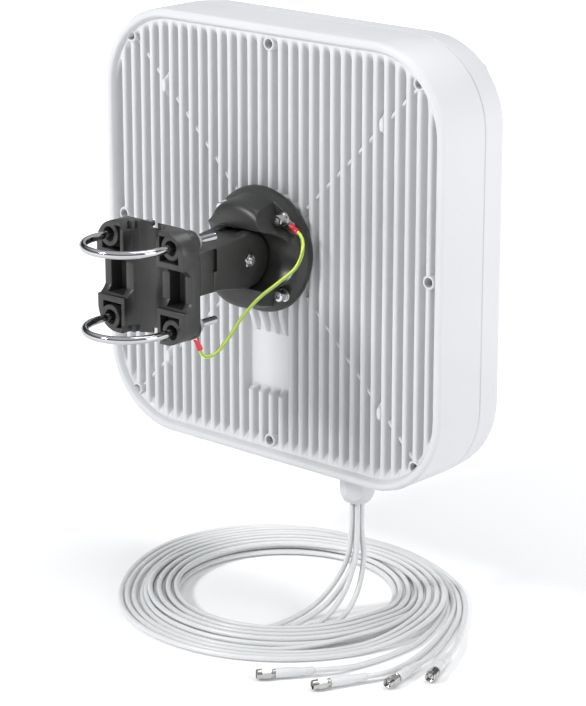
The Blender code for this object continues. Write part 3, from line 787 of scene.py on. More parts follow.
    @staticmethod
    def swept(name: str, rings: Sequence[Sequence[Vector]], capped: bool = False) -> Object:
        """Extrude an outline from ring to ring.

        Args:
            name: the object's name.
            rings: rings with the same number of points each.
            capped: True for a solid with filled ends, False for a closed section whose last
                ring meets the first.

        Returns:
            The object.
        """
        row = list(rings) if capped else [*rings, rings[0]]
        obj = Bench.loop(name, row[0], capped)
        for before, after in zip(row, row[1:]):
            Bench.pick(obj)
            bpy.ops.object.mode_set(mode="EDIT")
            if before is row[0]:
                bpy.ops.mesh.select_all(action="SELECT")
            bpy.ops.mesh.extrude_region_move()
            Bench.done()
            Bench.moved_on(obj, before, after)
        return Bench.tidy(obj)

    @staticmethod
    def lofted(name: str, rings: Sequence[Sequence[Vector]]) -> Object:
        """A solid through rings, with filled ends."""
        return Bench.swept(name, rings, capped=True)

    @staticmethod
    def span_block(name: str, first: Flat, second: Flat, low: float, high: float) -> Object:
        """A box between two (x, z) corners given in any order, and two depths.

        Args:
            name: the object's name.
            first: one corner's x and z.
            second: the other corner's x and z.
            low: the lower depth.
            high: the higher depth.

        Returns:
            The box.
        """
        xs, zs = sorted((first[0], second[0])), sorted((first[1], second[1]))
        return Bench.block(name, depth_point(xs[0], low, zs[0]), depth_point(xs[1], high, zs[1]))

    @staticmethod
    def finish_moulding(obj: Object, width: float) -> Object:
        """Clean a cut block's flats and give its edges a moulder's radius.

        Args:
            obj: the cut block.
            width: the edges' bevel.

        Returns:
            The same object.
        """
        Bench.edit(obj)
        bpy.ops.mesh.remove_doubles(threshold=0.00002)
        bpy.ops.mesh.dissolve_limited(angle_limit=math.radians(0.6))
        Bench.done()
        Bench.apply(obj, "BEVEL", width=width, segments=2, limit_method="ANGLE",
                    angle_limit=math.radians(34), use_clamp_overlap=True)
        Bench.apply(obj, "TRIANGULATE")
        return Bench.shade(Bench.tidy(obj), 36)

    @staticmethod
    def thread(obj: Object, start: Vector, way: Sequence[float], length: float, radius: float,
               pitch: float) -> Object:
        """Cut V grooves round the end of a bolt.

        Args:
            obj: the bolt.
            start: the middle of its end face.
            way: the direction from that end along the bolt.
            length: the length of the threaded part.
            radius: the bolt's radius.
            pitch: the distance between grooves.

        Returns:
            The bolt.
        """
        tools = []
        for i in range(int(length / pitch)):
            at = 0.0006 + i * pitch
            section = [(radius - 0.0004, at), (radius + 0.001, at - 0.0005), (radius + 0.001, at + 0.0005)]
            tools.append(Bench.lathe("groove", section, start, way, 32))
        return Bench.cut(obj, *tools)

    @staticmethod
    def nut(name: str, start: Vector, way: Sequence[float], across_flats: float, height: float,
            bore: float, turn: float = 0.0) -> Object:
        """A hexagon nut with turned-down corners and a countersunk bore.

        Args:
            name: the object's name.
            start: the middle of its lower face.
            way: the direction of its axis.
            across_flats: its width across flats.
            height: its height.
            bore: the radius of its hole.
            turn: the turn about its axis in degrees.

        Returns:
            The nut.
        """
        axis = Vector(way).normalized()
        nut = Bench.hexagon(name, start, start + axis * height, across_flats, turn)
        outer = across_flats / math.sqrt(3)
        flat = across_flats / 2
        lens = Bench.lathe("corner_turning", [
            (0.0, 0.0), (flat - 0.0001, 0.0), (outer + 0.0001, height * 0.10),
            (outer + 0.0001, height * 0.86), (flat - 0.0001, height), (0.0, height)], start, axis, 72)
        Bench.combine(nut, "INTERSECT", [lens])
        sink = bore + 0.0008
        hole = Bench.lathe("nut_hole", [
            (0.0, -0.001), (sink, -0.001), (sink, 0.0), (bore, 0.0006), (bore, height - 0.0006),
            (sink, height), (sink, height + 0.001), (0.0, height + 0.001)], start, axis, 40)
        Bench.cut(nut, hole)
        return Bench.shade(nut, 28)


def dress(obj: Object, material: bpy.types.Material, body: str | None = None,
          nodes: Sequence[str] = ()) -> Object:
    """Give a piece its finish, its body and the CAD nodes that it stands for.

    Args:
        obj: the piece.
        material: its finish.
        body: the body that it moves with, or None where it is already carried.
        nodes: CAD nodes that it replaces.

    Returns:
        The piece.
    """
    obj.data.materials.clear()
    obj.data.materials.append(material)
    if body:
        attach(obj, body)
    if nodes:
        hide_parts(*nodes)
    LOG.info("made %s", obj.name)
    return obj


def numbered(stem: str, count: int) -> list[str]:
    """Node names with numbers from 1."""
    return [f"{stem}_{i}" for i in range(1, count + 1)]


def dress_nodes(material: bpy.types.Material, *names: str) -> None:
    """Give CAD nodes that keep their own shape a finish.

    Args:
        material: the finish.
        names: the nodes' names.
    """
    for name in names:
        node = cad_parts[name]
        node.data.materials.clear()
        node.data.materials.append(material)
        LOG.info("dressed %s", name)


# --------------------------------------------------------------------------- housing


def corner_signs() -> list[tuple[int, int]]:
    """Signs of x and z in the four corners, clockwise from the upper left seen from behind."""
    return [(1, 1), (-1, 1), (-1, -1), (1, -1)]


@dataclass
class Housing:
    """The finned back shell and the smooth radome."""

    palette: Palette
    half: float = 0.174
    corner: float = 0.068
    rim_width: float = 0.0073
    rim_depth: float = 0.005
    rib_top: float = 0.0005
    rib_floor: float = -0.0085
    plate_back: float = -0.0118
    seam: float = -0.045
    seam_gap: float = 0.0003
    seam_chamfer: float = 0.0006
    front: float = -0.075
    front_draft: float = 0.0015
    front_rounding: float = 0.010
    wall: float = 0.003
    rib_pitch: float = 0.0105
    rib_count: int = 31
    end_slope: float = 0.010
    pocket_x: Flat = (-0.0155, 0.0265)
    pocket_z: Flat = (-0.117, -0.073)
    boss_corner: float = 0.1475
    boss_middle: float = 0.1589
    boss_radius: float = 0.0056
    boss_bore: float = 0.0037
    boss_rise: float = 0.0012
    well_floor: float = -0.0300
    corner_steps: int = 16
    brace_start: float = 0.050
    brace_end: float = 0.203
    gusset_reach: float = 0.1584
    gusset_steps: int = 16
    gusset_stretch: float = 1.45
    gusset_width: float = 0.62
    pad_radius: float = 0.0450

    def ring(self, inset: float, depth: float) -> list[Vector]:
        """The housing's outline, moved inwards, at a depth.

        Args:
            inset: how far inside the outline it lies.
            depth: its depth.

        Returns:
            The outline's points.
        """
        radius = self.corner - inset
        middle = self.half - self.corner
        points = []
        for quarter, (sx, sz) in enumerate(corner_signs()):
            for i in range(self.corner_steps + 1):
                turn = math.radians(90.0 * (quarter + i / self.corner_steps))
                points.append(depth_point(sx * middle + radius * math.cos(turn), depth,
                                          sz * middle + radius * math.sin(turn)))
        return points

    def rib_height(self, x: float) -> float:
        """How far the ribs rise at x, from 0 on a groove's floor to 1 on a rib's top.

        Args:
            x: the place across the ribs.

        Returns:
            The share of a rib's height.
        """
        across = abs((x + self.rib_pitch / 2) % self.rib_pitch - self.rib_pitch / 2)
        steps = ((0.0, 1.0), (0.0010, 0.985), (0.0017, 0.94), (0.0022, 0.85), (0.0026, 0.70),
                 (0.0032, 0.20), (0.0036, 0.06), (0.0042, 0.01), (0.0053, 0.0))
        for (a, high), (b, low) in zip(steps, steps[1:]):
            if across <= b:
                return high + (low - high) * (across - a) / (b - a)
        return 0.0

    def column_places(self) -> list[float]:
        """The x of each column of the ribbed plate.

        Returns:
            The places in rising order.
        """
        offsets = (0.0, 0.0010, 0.0017, 0.0022, 0.0026, 0.0032, 0.0036, 0.0042, 0.00525)
        places = []
        for i in range(self.rib_count + 2):
            middle = (i - (self.rib_count + 1) / 2) * self.rib_pitch
            places += [middle - offset for offset in reversed(offsets[:-1])]
            places += [middle + offset for offset in offsets[1:]]
        edges = [*self.pocket_x, self.pocket_x[0] - 0.0009, self.pocket_x[1] + 0.0009]
        limit = self.half - 0.005
        inside = [x for x in places if abs(x) < limit] + edges + [-limit, limit]
        return sorted(set(round(x, 6) for x in inside))

    def row_shares(self) -> list[float]:
        """The z of each row of the ribbed plate where the plate is tallest, as distances
        from the middle; the last rows run up the sloping ends of the grooves.

        Returns:
            The distances in rising order.
        """
        low, high = (abs(z) for z in reversed(self.pocket_z))
        around = [edge + step for edge in (low, high)
                  for step in (-0.0015, -0.0008, 0.0, 0.0008, 0.0016, 0.0026, 0.0040)]
        return [0.0, 0.02, 0.04, 0.055, *around[:7], 0.085, 0.095, 0.105, *around[7:]]

    def plate(self) -> Object:
        """The ribbed plate as one modelled surface with a thickness.

        Returns:
            The plate.
        """
        columns = self.column_places()
        inner = self.half - self.rim_width - 0.0015
        middle = self.half - self.corner
        arc = inner - middle
        shares = self.row_shares()
        slopes = (1.0, 0.86, 0.72, 0.58, 0.44, 0.30, 0.16, 0.07, 0.0)
        half_rows = len(shares) + len(slopes) + 1
        rows = 2 * half_rows - 1
        Bench.clear()
        bpy.ops.mesh.primitive_grid_add(x_subdivisions=len(columns) - 1, y_subdivisions=rows - 1)
        obj = Bench.settled("rib_plate")
        for index, vertex in enumerate(obj.data.vertices):
            row, column = divmod(index, len(columns))
            x = columns[column]
            beyond = min(arc - 0.0002, max(0.0, abs(x) - middle))
            end = middle + math.sqrt(arc ** 2 - beyond ** 2)
            step = abs(row - (half_rows - 1))
            if step < len(shares):
                z = shares[step] * min(1.0, (end - self.end_slope - 0.0005) / 0.1215)
                drop = 1.0
            elif step < len(shares) + len(slopes):
                drop = slopes[step - len(shares)]
                z = end - self.end_slope * drop
                drop = blend_step(drop * 0.85) / blend_step(0.85)
            else:
                z, drop = end + 0.004, 0.0
            z = math.copysign(z, row - (half_rows - 1))
            height = self.rib_height(x)
            if self.pocket_x[0] - 0.0005 < x < self.pocket_x[1] + 0.0005:
                above = blend_step((z - self.pocket_z[1]) / 0.0040)
                below = blend_step((self.pocket_z[0] - z) / 0.0040)
                height *= max(above, below)
            rise = self.rib_floor + (self.rib_top - self.rib_floor) * height
            vertex.co = depth_point(x, self.rib_top + (rise - self.rib_top) * drop, z)
        Bench.edit(obj)
        bpy.ops.mesh.extrude_region_move()
        Bench.done()
        for vertex in obj.data.vertices:
            if vertex.select:
                vertex.co.y = BOSS_PLANE_Y + self.plate_back
        return Bench.tidy(obj)

    def rim(self) -> Object:
        """The rounded rim and the side wall, as one closed section swept round the outline.

        Returns:
            The wall.
        """
        chamfer = self.seam_chamfer
        section = (
            (0.0, self.seam + chamfer), (0.0, self.rim_depth - 0.0034), (0.0003, self.rim_depth - 0.0020),
            (0.0011, self.rim_depth - 0.0008), (0.0024, self.rim_depth - 0.0001),
            (0.0042, self.rim_depth), (0.0056, self.rim_depth - 0.0003), (0.0066, self.rim_depth - 0.0012),
            (0.0072, self.rim_depth - 0.0026), (0.0086, self.rib_top), (0.0090, self.rib_floor),
            (0.0090, self.plate_back), (0.0040, self.plate_back - 0.001),
            (self.wall, self.plate_back - 0.004), (self.wall, self.seam), (chamfer, self.seam),
        )
        return Bench.swept("side_wall", [self.ring(inset, depth) for inset, depth in section])

    def boss_places(self) -> list[Flat]:
        """The x and z of the eight cover bosses, clockwise from the upper left seen from behind."""
        c, m = self.boss_corner, self.boss_middle
        return [(c, c), (0, m), (-c, c), (-m, 0), (-c, -c), (0, -m), (c, -c), (m, 0)]

    def boss(self) -> Object:
        """One screw boss on the housing's axis: a rounded ring round a deep well.

        Returns:
            The boss.
        """
        outer, bore, top = self.boss_radius, self.boss_bore, self.boss_rise
        profile = [(outer, self.plate_back + 0.001), (outer, top - 0.0012), (outer - 0.0003, top - 0.0004),
                   (outer - 0.0008, top), (bore + 0.0004, top), (bore, top - 0.0004),
                   (bore, self.well_floor + 0.0002), (0.0019, self.well_floor),
                   (0.0019, self.well_floor - 0.0068), (outer - 0.001, self.well_floor - 0.0068),
                   (outer - 0.001, self.plate_back)]
        return Bench.lathe("screw_boss", profile, (0, BOSS_PLANE_Y, 0), (0, 1, 0), 40)

    def at_bosses(self, pattern: Object) -> list[Object]:
        """Copy a piece to the eight bosses and use the piece up.

        Args:
            pattern: a piece on the housing's axis.

        Returns:
            The copies.
        """
        places = [Matrix.Translation((x, 0, z)) for x, z in self.boss_places()]
        return Bench.repeated(pattern, numbered(pattern.name, len(places)), places)

    def brace(self, sx: int, sz: int) -> Object:
        """A thin diagonal rib.

        Args:
            sx: the corner's side along X, 1 or -1.
            sz: the corner's side along Z, 1 or -1.

        Returns:
            The rib.
        """
        way = Vector((sx, 0, sz)).normalized()
        side = Vector((sz, 0, -sx)).normalized()
        start = way * self.brace_start
        section = ((0.0022, -0.010), (0.0016, -0.0042), (0.0008, -0.0033),
                   (-0.0008, -0.0033), (-0.0016, -0.0042), (-0.0022, -0.010))
        outline = [depth_point(start.x + side.x * across, depth, start.z + side.z * across)
                   for across, depth in section]
        return Bench.extrusion("diagonal_rib", outline, way * self.brace_end - start)

    def gusset(self, sx: int, sz: int) -> Object:
        """The small gusset that stands on a diagonal rib.

        Args:
            sx: the corner's side along X, 1 or -1.
            sz: the corner's side along Z, 1 or -1.

        Returns:
            The gusset.
        """
        middle = Vector((sx, 0, sz)).normalized() * self.gusset_reach
        rings = []
        for radius, depth in ((0.0098, -0.0095), (0.0074, -0.0058), (0.0050, -0.0026),
                              (0.0038, -0.0002), (0.0034, 0.0007), (0.0022, 0.0012)):
            ring = []
            for i in range(self.gusset_steps):
                turn = math.tau * i / self.gusset_steps
                stretch = self.gusset_stretch if abs(math.cos(turn)) > 0.5 else 1.0
                ring.append(depth_point(middle.x + self.gusset_width * radius * math.sin(turn), depth,
                                        middle.z + stretch * radius * math.cos(turn)))
            rings.append(ring)
        return Bench.lofted("gusset", rings)

    def build_back_shell(self) -> Object:
        """Model the finned shell with its rim, bosses, braces and screw holes.

        Returns:
            The shell.
        """
        plate = self.plate()
        drill = Bench.rod("drill", (0, BOSS_PLANE_Y - 0.02, 0), (0, BOSS_PLANE_Y + 0.01, 0),
                          self.boss_radius - 0.0008, vertices=40)
        Bench.cut(plate, *self.at_bosses(drill))
        pieces = [plate, self.rim(), *self.at_bosses(self.boss())]
        for sx, sz in corner_signs():
            pieces += [self.brace(sx, sz), self.gusset(sx, sz)]
        pad = self.pad_radius
        pieces.append(Bench.lathe("bracket_pad", [(0.0, -0.011), (pad, -0.011), (pad, 0.0), (0.0, 0.0)],
                                  (0, BOSS_PLANE_Y, 0), (0, 1, 0), 96))
        shell = Bench.shade(Bench.merged("finned_shell", pieces), 38)
        return dress(shell, self.palette.housing, BODY_PANEL, ["back_shell"])

    def build_radome(self) -> Object:
        """Model the smooth front cover with a rounded front edge and a hollow inside.

        Returns:
            The cover.
        """
        seam, chamfer = self.seam - self.seam_gap, self.seam_chamfer
        outside = [(chamfer, seam), (0.0, seam - chamfer)]
        for i in range(9):
            turn = math.pi / 2 * i / 8
            outside.append((self.front_draft + self.front_rounding * (1 - math.cos(turn)),
                            self.front + self.front_rounding * (1 - math.sin(turn))))
        outside += [(0.030, self.front), (0.060, self.front)]
        inside = [(0.060, self.front + self.wall), (0.016, self.front + self.wall),
                  (0.0065, self.front + 0.0065), (self.wall + 0.001, self.front + 0.014),
                  (self.wall + 0.001, seam)]
        shell = Bench.swept("radome_wall", [self.ring(*spot) for spot in [*outside, *inside]])
        face = Bench.lofted("radome_face", [self.ring(0.0598, self.front),
                                            self.ring(0.0598, self.front + self.wall)])
        foot, top = self.front + 0.001, self.seam + 0.0075
        post = Bench.lathe("radome_post", [(0.0048, foot), (0.0048, top), (0.0020, top), (0.0020, foot)],
                           (0, BOSS_PLANE_Y, 0), (0, 1, 0), 24)
        cover = Bench.shade(Bench.merged("radome_cover", [shell, face, *self.at_bosses(post)]), 38)
        return dress(cover, self.palette.radome, BODY_PANEL, ["radome"])

    def build(self) -> None:
        """Model the housing and finish the nodes inside it."""
        self.build_back_shell()
        self.build_radome()
        dress_nodes(self.palette.rubber, "gasket")
        dress_nodes(self.palette.sheet_metal, "reflector_plate", *numbered("patch", 4))
        dress_nodes(self.palette.board, "feed_board")
        dress_nodes(self.palette.screw, *numbered("cover_screw", 8))


# --------------------------------------------------------------------------- bracket


@dataclass
class FootFlange:
    """The round foot with its domed hub, screw recesses and the tongue that the arm clasps."""

    palette: Palette
    foot: float = 0.0008
    recess_depth: float = 0.0161
    screw_square: float = 0.030
    tilt_depth: float = 0.042
    slot_radius: float = 0.0232
    tongue_half: float = 0.0087
    tongue_radius: float = 0.0195
    lug: float = 0.0006
    gap: float = 0.0003
    recess_inner: float = 0.0350
    recess_reach: float = 0.0125
    recess_spread: float = 0.030
    recess_outer: float = 0.075

    def recess(self, sx: int, sz: int) -> Object:
        """Cutter for the open-ended, wedge-shaped recess round one screw.

        Args:
            sx: the screw's side along X, 1 or -1.
            sz: the screw's side along Z, 1 or -1.

        Returns:
            The cutter.
        """
        inner, spread, outer = self.recess_inner, self.recess_spread, self.recess_outer
        out = Vector((sx, 0, sz)).normalized()
        side = Vector((0, 1, 0)).cross(out)
        floor = depth_point(0, self.recess_depth, 0)
        wide = inner + self.recess_reach
        outline = [out * along + side * across + floor
                   for along, across in ((inner, 0.0), (wide, spread), (outer, spread), (outer, -spread),
                                         (wide, -spread))]
        tool = Bench.extrusion("screw_recess", outline, (0, 0.05, 0))
        crease = out * inner
        return Bench.round_edges(
            tool, lambda a, b: all(math.hypot(p.x - crease.x, p.z - crease.z) < 0.0001 for p in (a, b)),
            0.006, 6)

    def build_flange(self) -> Object:
        """Model the foot.

        Returns:
            The foot.
        """
        profile = [(0.0, 0.0408), (0.020, 0.0406), (0.0350, 0.0398), (0.0385, 0.0388), (0.0405, 0.0372),
                   (0.0418, 0.0345), (0.0428, 0.0300), (0.0438, 0.0240), (0.0448, 0.0180),
                   (0.0458, 0.0158), (0.0474, 0.0144), (0.0488, 0.0132), (0.0497, 0.0116),
                   (0.0500, 0.0102), (0.0500, 0.0082), (0.0496, 0.0073), (0.0455, self.foot),
                   (0.0, self.foot)]
        flange = Bench.lathe("foot_flange", profile, (0, BOSS_PLANE_Y, 0), (0, 1, 0), 120)
        pivot = BOSS_PLANE_Y + self.tilt_depth
        slot = Bench.rod("arm_slot", (-0.06, pivot, 0), (0.06, pivot, 0), self.slot_radius, vertices=96)
        mouth = Bench.block("arm_mouth", (-0.06, pivot, -self.slot_radius),
                            (0.06, pivot + 0.03, self.slot_radius))
        Bench.cut(flange, Bench.join(slot, mouth), *[self.recess(sx, sz) for sx, sz in corner_signs()])
        tongue = Bench.rod("tongue", (-self.tongue_half, pivot, 0), (self.tongue_half, pivot, 0),
                           self.tongue_radius, vertices=72)
        root = Bench.block("tongue_root", (-self.tongue_half, BOSS_PLANE_Y + 0.010, -0.0185),
                           (self.tongue_half, pivot, 0.0185))
        Bench.join(flange, Bench.join(tongue, root))
        holes = [Bench.rod("pivot_bore", (-0.03, pivot, 0), (0.03, pivot, 0), 0.0032)]
        for sx, sz in corner_signs():
            x, z = sx * self.screw_square, sz * self.screw_square
            holes.append(Bench.rod("screw_hole", (x, BOSS_PLANE_Y - 0.01, z),
                                   (x, BOSS_PLANE_Y + 0.03, z), 0.0028))
        Bench.cut(flange, *holes)
        Bench.finish_moulding(flange, 0.0007)
        return dress(flange, self.palette.charcoal, BODY_PANEL, ["flange_fork"])

    def screw(self) -> Object:
        """One socket screw with its spring washer and flat washer, with its seat at the origin.

        Returns:
            The screw.
        """
        seat, up = Vector((0, 0, 0)), Vector((0, 1, 0))
        washer = Bench.lathe("washer", [(0.0027, 0.0), (0.0052, 0.0), (0.0054, 0.0002), (0.0054, 0.0008),
                                        (0.0052, 0.0010), (0.0027, 0.0010)], seat, up, 48)
        spring = Bench.lathe("spring_washer", [(0.0027, 0.0011), (0.0045, 0.0011), (0.0046, 0.0013),
                                               (0.0046, 0.0022), (0.0044, 0.0023), (0.0027, 0.0023)],
                             seat, up, 48)
        head = Bench.lathe("head", [(0.0, 0.0024), (0.0041, 0.0024), (0.0043, 0.0026), (0.0043, 0.0069),
                                    (0.0042, 0.0073), (0.0038, 0.0077), (0.0026, 0.0078), (0.0, 0.0078)],
                           seat, up, 48)
        Bench.join(head, Bench.rod("shank", up * 0.003, up * -0.026, 0.0024))
        Bench.cut(head, Bench.hexagon("socket", up * 0.0045, up * 0.010, 0.0042, 12.0))
        return Bench.shade(Bench.merged("socket_screw", [head, washer, spring]), 30)

    def build_screws(self) -> None:
        """Put a screw in each recess, one of them on top of the earth terminal."""
        places = []
        for sx, sz in corner_signs():
            seat = self.recess_depth + self.gap
            if (sx, sz) == (-1, 1):
                seat += self.lug + self.gap
            places.append(Matrix.Translation(depth_point(sx * self.screw_square, seat,
                                                         sz * self.screw_square)))
        screws = Bench.repeated(self.screw(), numbered("socket_screw", len(places)), places)
        for screw, node in zip(screws, numbered("flange_screw", len(places))):
            dress(screw, self.palette.screw, BODY_PANEL, [node])


@dataclass
class TiltArm:
    """The arm that tilts on the foot's tongue, with its bolt and nut."""

    palette: Palette
    pivot: Vector = field(default_factory=lambda: depth_point(0, 0.042, 0))
    knuckle: float = 0.022
    outside: float = 0.018
    inside: float = 0.009
    neck_half: float = 0.0173
    neck_end: float = 0.0985
    edge: float = 0.0026

    def build_arm(self) -> Object:
        """Model the arm with its knuckle, neck, slot and sunk seats.

        Returns:
            The arm.
        """
        y, out, r = self.pivot.y, self.outside, self.edge
        rounding = [(r * (1 - math.cos(math.pi / 2 * i / 5)), r * (1 - math.sin(math.pi / 2 * i / 5)))
                    for i in range(6)]
        profile = [(0.0, -out)] + [(self.knuckle - inset, -out + rise) for inset, rise in reversed(rounding)]
        profile += [(self.knuckle - inset, out - rise) for inset, rise in rounding] + [(0.0, out)]
        arm = Bench.lathe("tilt_arm", profile, self.pivot, (1, 0, 0), 120)
        end = BOSS_PLANE_Y + self.neck_end
        top = [(y + 0.0005, self.knuckle - 0.0003)]
        for i in range(9):
            share = i / 8
            top.append((y + 0.006 + 0.030 * share,
                        self.knuckle - 0.0012 - (self.knuckle - 0.0012 - self.neck_half) * blend_step(share)))
        top.append((end, self.neck_half))
        outline = [(-out, py, pz) for py, pz in top] + [(-out, py, -pz) for py, pz in reversed(top)]
        neck = Bench.extrusion("neck", outline, (2 * out, 0, 0))
        Bench.round_edges(
            neck, lambda a, b: abs(a.x - b.x) < 1e-5 and abs(a.z - b.z) < 0.004 and abs(a.y - b.y) > 1e-5,
            r, 5)
        Bench.join(arm, neck)
        spigot = Bench.block("spigot", (-0.012, end - 0.01, -0.012), (0.012, end + 0.011, 0.012))
        Bench.join(arm, spigot)
        tools = [Bench.rod("cheek_gap", (-self.inside, y, 0), (self.inside, y, 0), 0.0225, vertices=72),
                 Bench.rod("bore", (-0.03, y, 0), (0.03, y, 0), 0.0032),
                 Bench.hexagon("nut_seat", (-0.03, y, 0), (-0.0135, y, 0), 0.0106, 12.0),
                 Bench.rod("head_seat", (0.0135, y, 0), (0.03, y, 0), 0.0054)]
        slot_y = BOSS_PLANE_Y + 0.0785
        for side in (-1, 1):
            low, high = sorted((side * (out - 0.0035), side * (out + 0.01)))
            tools.append(Bench.block("side_slot", (low, slot_y, -0.001), (high, slot_y + 0.0045, 0.0165)))
            low, high = sorted((side * (out - 0.0006), side * (out + 0.01)))
            tools.append(Bench.block("side_land", (low, slot_y + 0.0040, -0.0172),
                                     (high, slot_y + 0.03, 0.0168)))
        Bench.cut(arm, *tools)
        Bench.finish_moulding(arm, 0.0005)
        return dress(arm, self.palette.charcoal, BODY_BRACKET, ["arm"])

    def build_bolt(self) -> None:
        """Model the socket-head pivot bolt, its threaded end and the nut."""
        pivot = self.pivot
        bolt = Bench.lathe("pivot_bolt", [(0.0, 0.0178), (0.0042, 0.0178), (0.0048, 0.0174), (0.0050, 0.0168),
                                          (0.0050, 0.0138), (0.0029, 0.0138), (0.0029, -0.0150),
                                          (0.00275, -0.0205), (0.0022, -0.0212), (0.0, -0.0212)],
                           pivot, (1, 0, 0), 64)
        Bench.cut(bolt, Bench.hexagon("socket", pivot + Vector((0.0148, 0, 0)),
                                      pivot + Vector((0.02, 0, 0)), 0.005))
        Bench.thread(bolt, pivot + Vector((-0.0212, 0, 0)), (1, 0, 0), 0.0070, 0.0029, 0.0010)
        dress(Bench.shade(bolt, 30), self.palette.screw, BODY_BRACKET, ["tilt_bolt"])
        nut = Bench.nut("pivot_nut", pivot + Vector((-0.0138, 0, 0)), (-1, 0, 0), 0.0100, 0.0047, 0.0032,
                        12.0)
        dress(nut, self.palette.screw, BODY_BRACKET, ["tilt_nut"])


@dataclass
class PoleSaddle:
    """The saddle block that the U-bolts pull against the pole."""

    palette: Palette
    back: float = 0.0988
    front: float = 0.1426
    rim: float = 0.0170
    half_width: float = 0.045
    half_height: float = 0.043
    corner: float = 0.019
    inset: float = 0.0035
    leg: float = 0.032
    nut_seat: float = 0.1210
    corner_steps: int = 14
    back_scale: float = 0.48
    pocket_inner: float = 0.0203
    pocket_outer: float = 0.0395
    pocket_width: float = 0.0125
    pocket_depth: float = 0.009
    core_depth: float = 0.0195
    past_face: float = 0.005

    def slab(self, name: str, inset: float, low: float, high: float, low_scale: float = 1.0) -> Object:
        """A rounded rectangular block between two depths, which may narrow towards the first.

        Args:
            name: the object's name.
            inset: how far its outline lies inside the saddle's.
            low: the first depth.
            high: the second depth.
            low_scale: the outline's scale at the first depth.

        Returns:
            The block.
        """
        width, height, corner = self.half_width - inset, self.half_height - inset, self.corner - inset
        rings = []
        for depth, scale in ((low, low_scale), (high, 1.0)):
            ring = []
            for quarter, (sx, sz) in enumerate(corner_signs()):
                for i in range(self.corner_steps + 1):
                    turn = math.radians(90.0 * (quarter + i / self.corner_steps))
                    ring.append(depth_point(scale * (sx * (width - corner) + corner * math.cos(turn)), depth,
                                            scale * (sz * (height - corner) + corner * math.sin(turn))))
            rings.append(ring)
        return Bench.lofted(name, rings)

    def side_notch(self, side: int) -> Object:
        """Cutter for the notch with sloping ends across one half of the level channel.

        Args:
            side: the side along X, 1 or -1.

        Returns:
            The cutter.
        """
        outline = [(0.0158, 0.006), (0.0158, -0.0030), (0.0128, -0.0062), (0.0100, -0.0082),
                   (-0.0100, -0.0082), (-0.0128, -0.0062), (-0.0158, -0.0030), (-0.0158, 0.006)]
        start, end = sorted((side * 0.010, side * 0.060))
        points = [depth_point(start, self.front + depth, z) for z, depth in outline]
        return Bench.extrusion("side_notch", points, (end - start, 0, 0))

    def corner_tools(self, sx: int, sz: int) -> list[Object]:
        """Cutters for the L-shaped pocket and the C-shaped groove of one pad.

        Args:
            sx: the pad's side along X, 1 or -1.
            sz: the pad's side along Z, 1 or -1.

        Returns:
            The cutters.
        """
        inner, outer = self.pocket_inner, self.pocket_outer
        across = inner + self.pocket_width
        deep, high = self.front - self.pocket_depth, self.front + self.past_face
        near = (inner * sx, inner * sz)
        pocket = Bench.span_block("pad_pocket", near, (outer * sx, across * sz), deep, high)
        leg = Bench.span_block("pad_leg", near, (across * sx, outer * sz), deep, high)
        centre = (sx * self.leg, sz * self.leg)
        ring = Bench.rod("ring", depth_point(centre[0], deep - 0.01, centre[1]),
                         depth_point(centre[0], high + 0.01, centre[1]), 0.0092, vertices=56)
        Bench.cut(Bench.join(pocket, leg), ring)
        return [
            pocket,
            Bench.rod("leg_hole", depth_point(centre[0], 0.09, centre[1]),
                      depth_point(centre[0], 0.16, centre[1]), 0.0036, vertices=40),
            Bench.rod("leg_mouth", depth_point(centre[0], self.front - 0.007, centre[1]),
                      depth_point(centre[0], 0.16, centre[1]), 0.0052, 0.0068, vertices=40),
        ]

    def build(self) -> Object:
        """Model the saddle.

        Returns:
            The saddle.
        """
        rim = self.front - self.rim
        saddle = self.slab("pole_saddle", 0.0, rim, self.front)
        Bench.join(saddle, self.slab("saddle_back", self.inset, self.back, rim + 0.001, self.back_scale))
        for sx, sz in corner_signs():
            x, z = sx * self.leg, sz * self.leg
            Bench.join(saddle, Bench.rod("leg_column", depth_point(x, self.nut_seat, z),
                                         depth_point(x, rim + 0.002, z), 0.0095, vertices=56))
            Bench.cut(saddle, Bench.rod("nut_well", depth_point(x, 0.09, z),
                                        depth_point(x, self.nut_seat, z), 0.0098, vertices=56))
        tools = [Bench.rod("pole_trough", depth_point(0, self.front, -0.06),
                           depth_point(0, self.front, 0.06), 0.0172, vertices=96)]
        high = self.front + self.past_face
        for side in (-1, 1):
            tools.append(Bench.span_block("side_core", (side * 0.0225, -0.0145), (side * 0.0385, 0.0145),
                                          self.front - self.core_depth, high))
            tools.append(self.side_notch(side))
            for i, x in enumerate((0.0135, 0.0175)):
                for end in (-1, 1):
                    tools.append(Bench.span_block(
                        "mouth_step", (side * (x - 0.0022), end * 0.0370), (side * (x + 0.0022), end * 0.050),
                        self.front - 0.0125 + 0.004 * i, high))
        for sx, sz in corner_signs():
            tools += self.corner_tools(sx, sz)
        tools.append(Bench.block("spigot_socket", depth_point(-0.0123, 0.09, -0.0123),
                                 depth_point(0.0123, 0.1098, 0.0123)))
        Bench.cut(saddle, *tools)
        Bench.finish_moulding(saddle, 0.0006)
        return dress(saddle, self.palette.charcoal, BODY_BRACKET, ["saddle"])


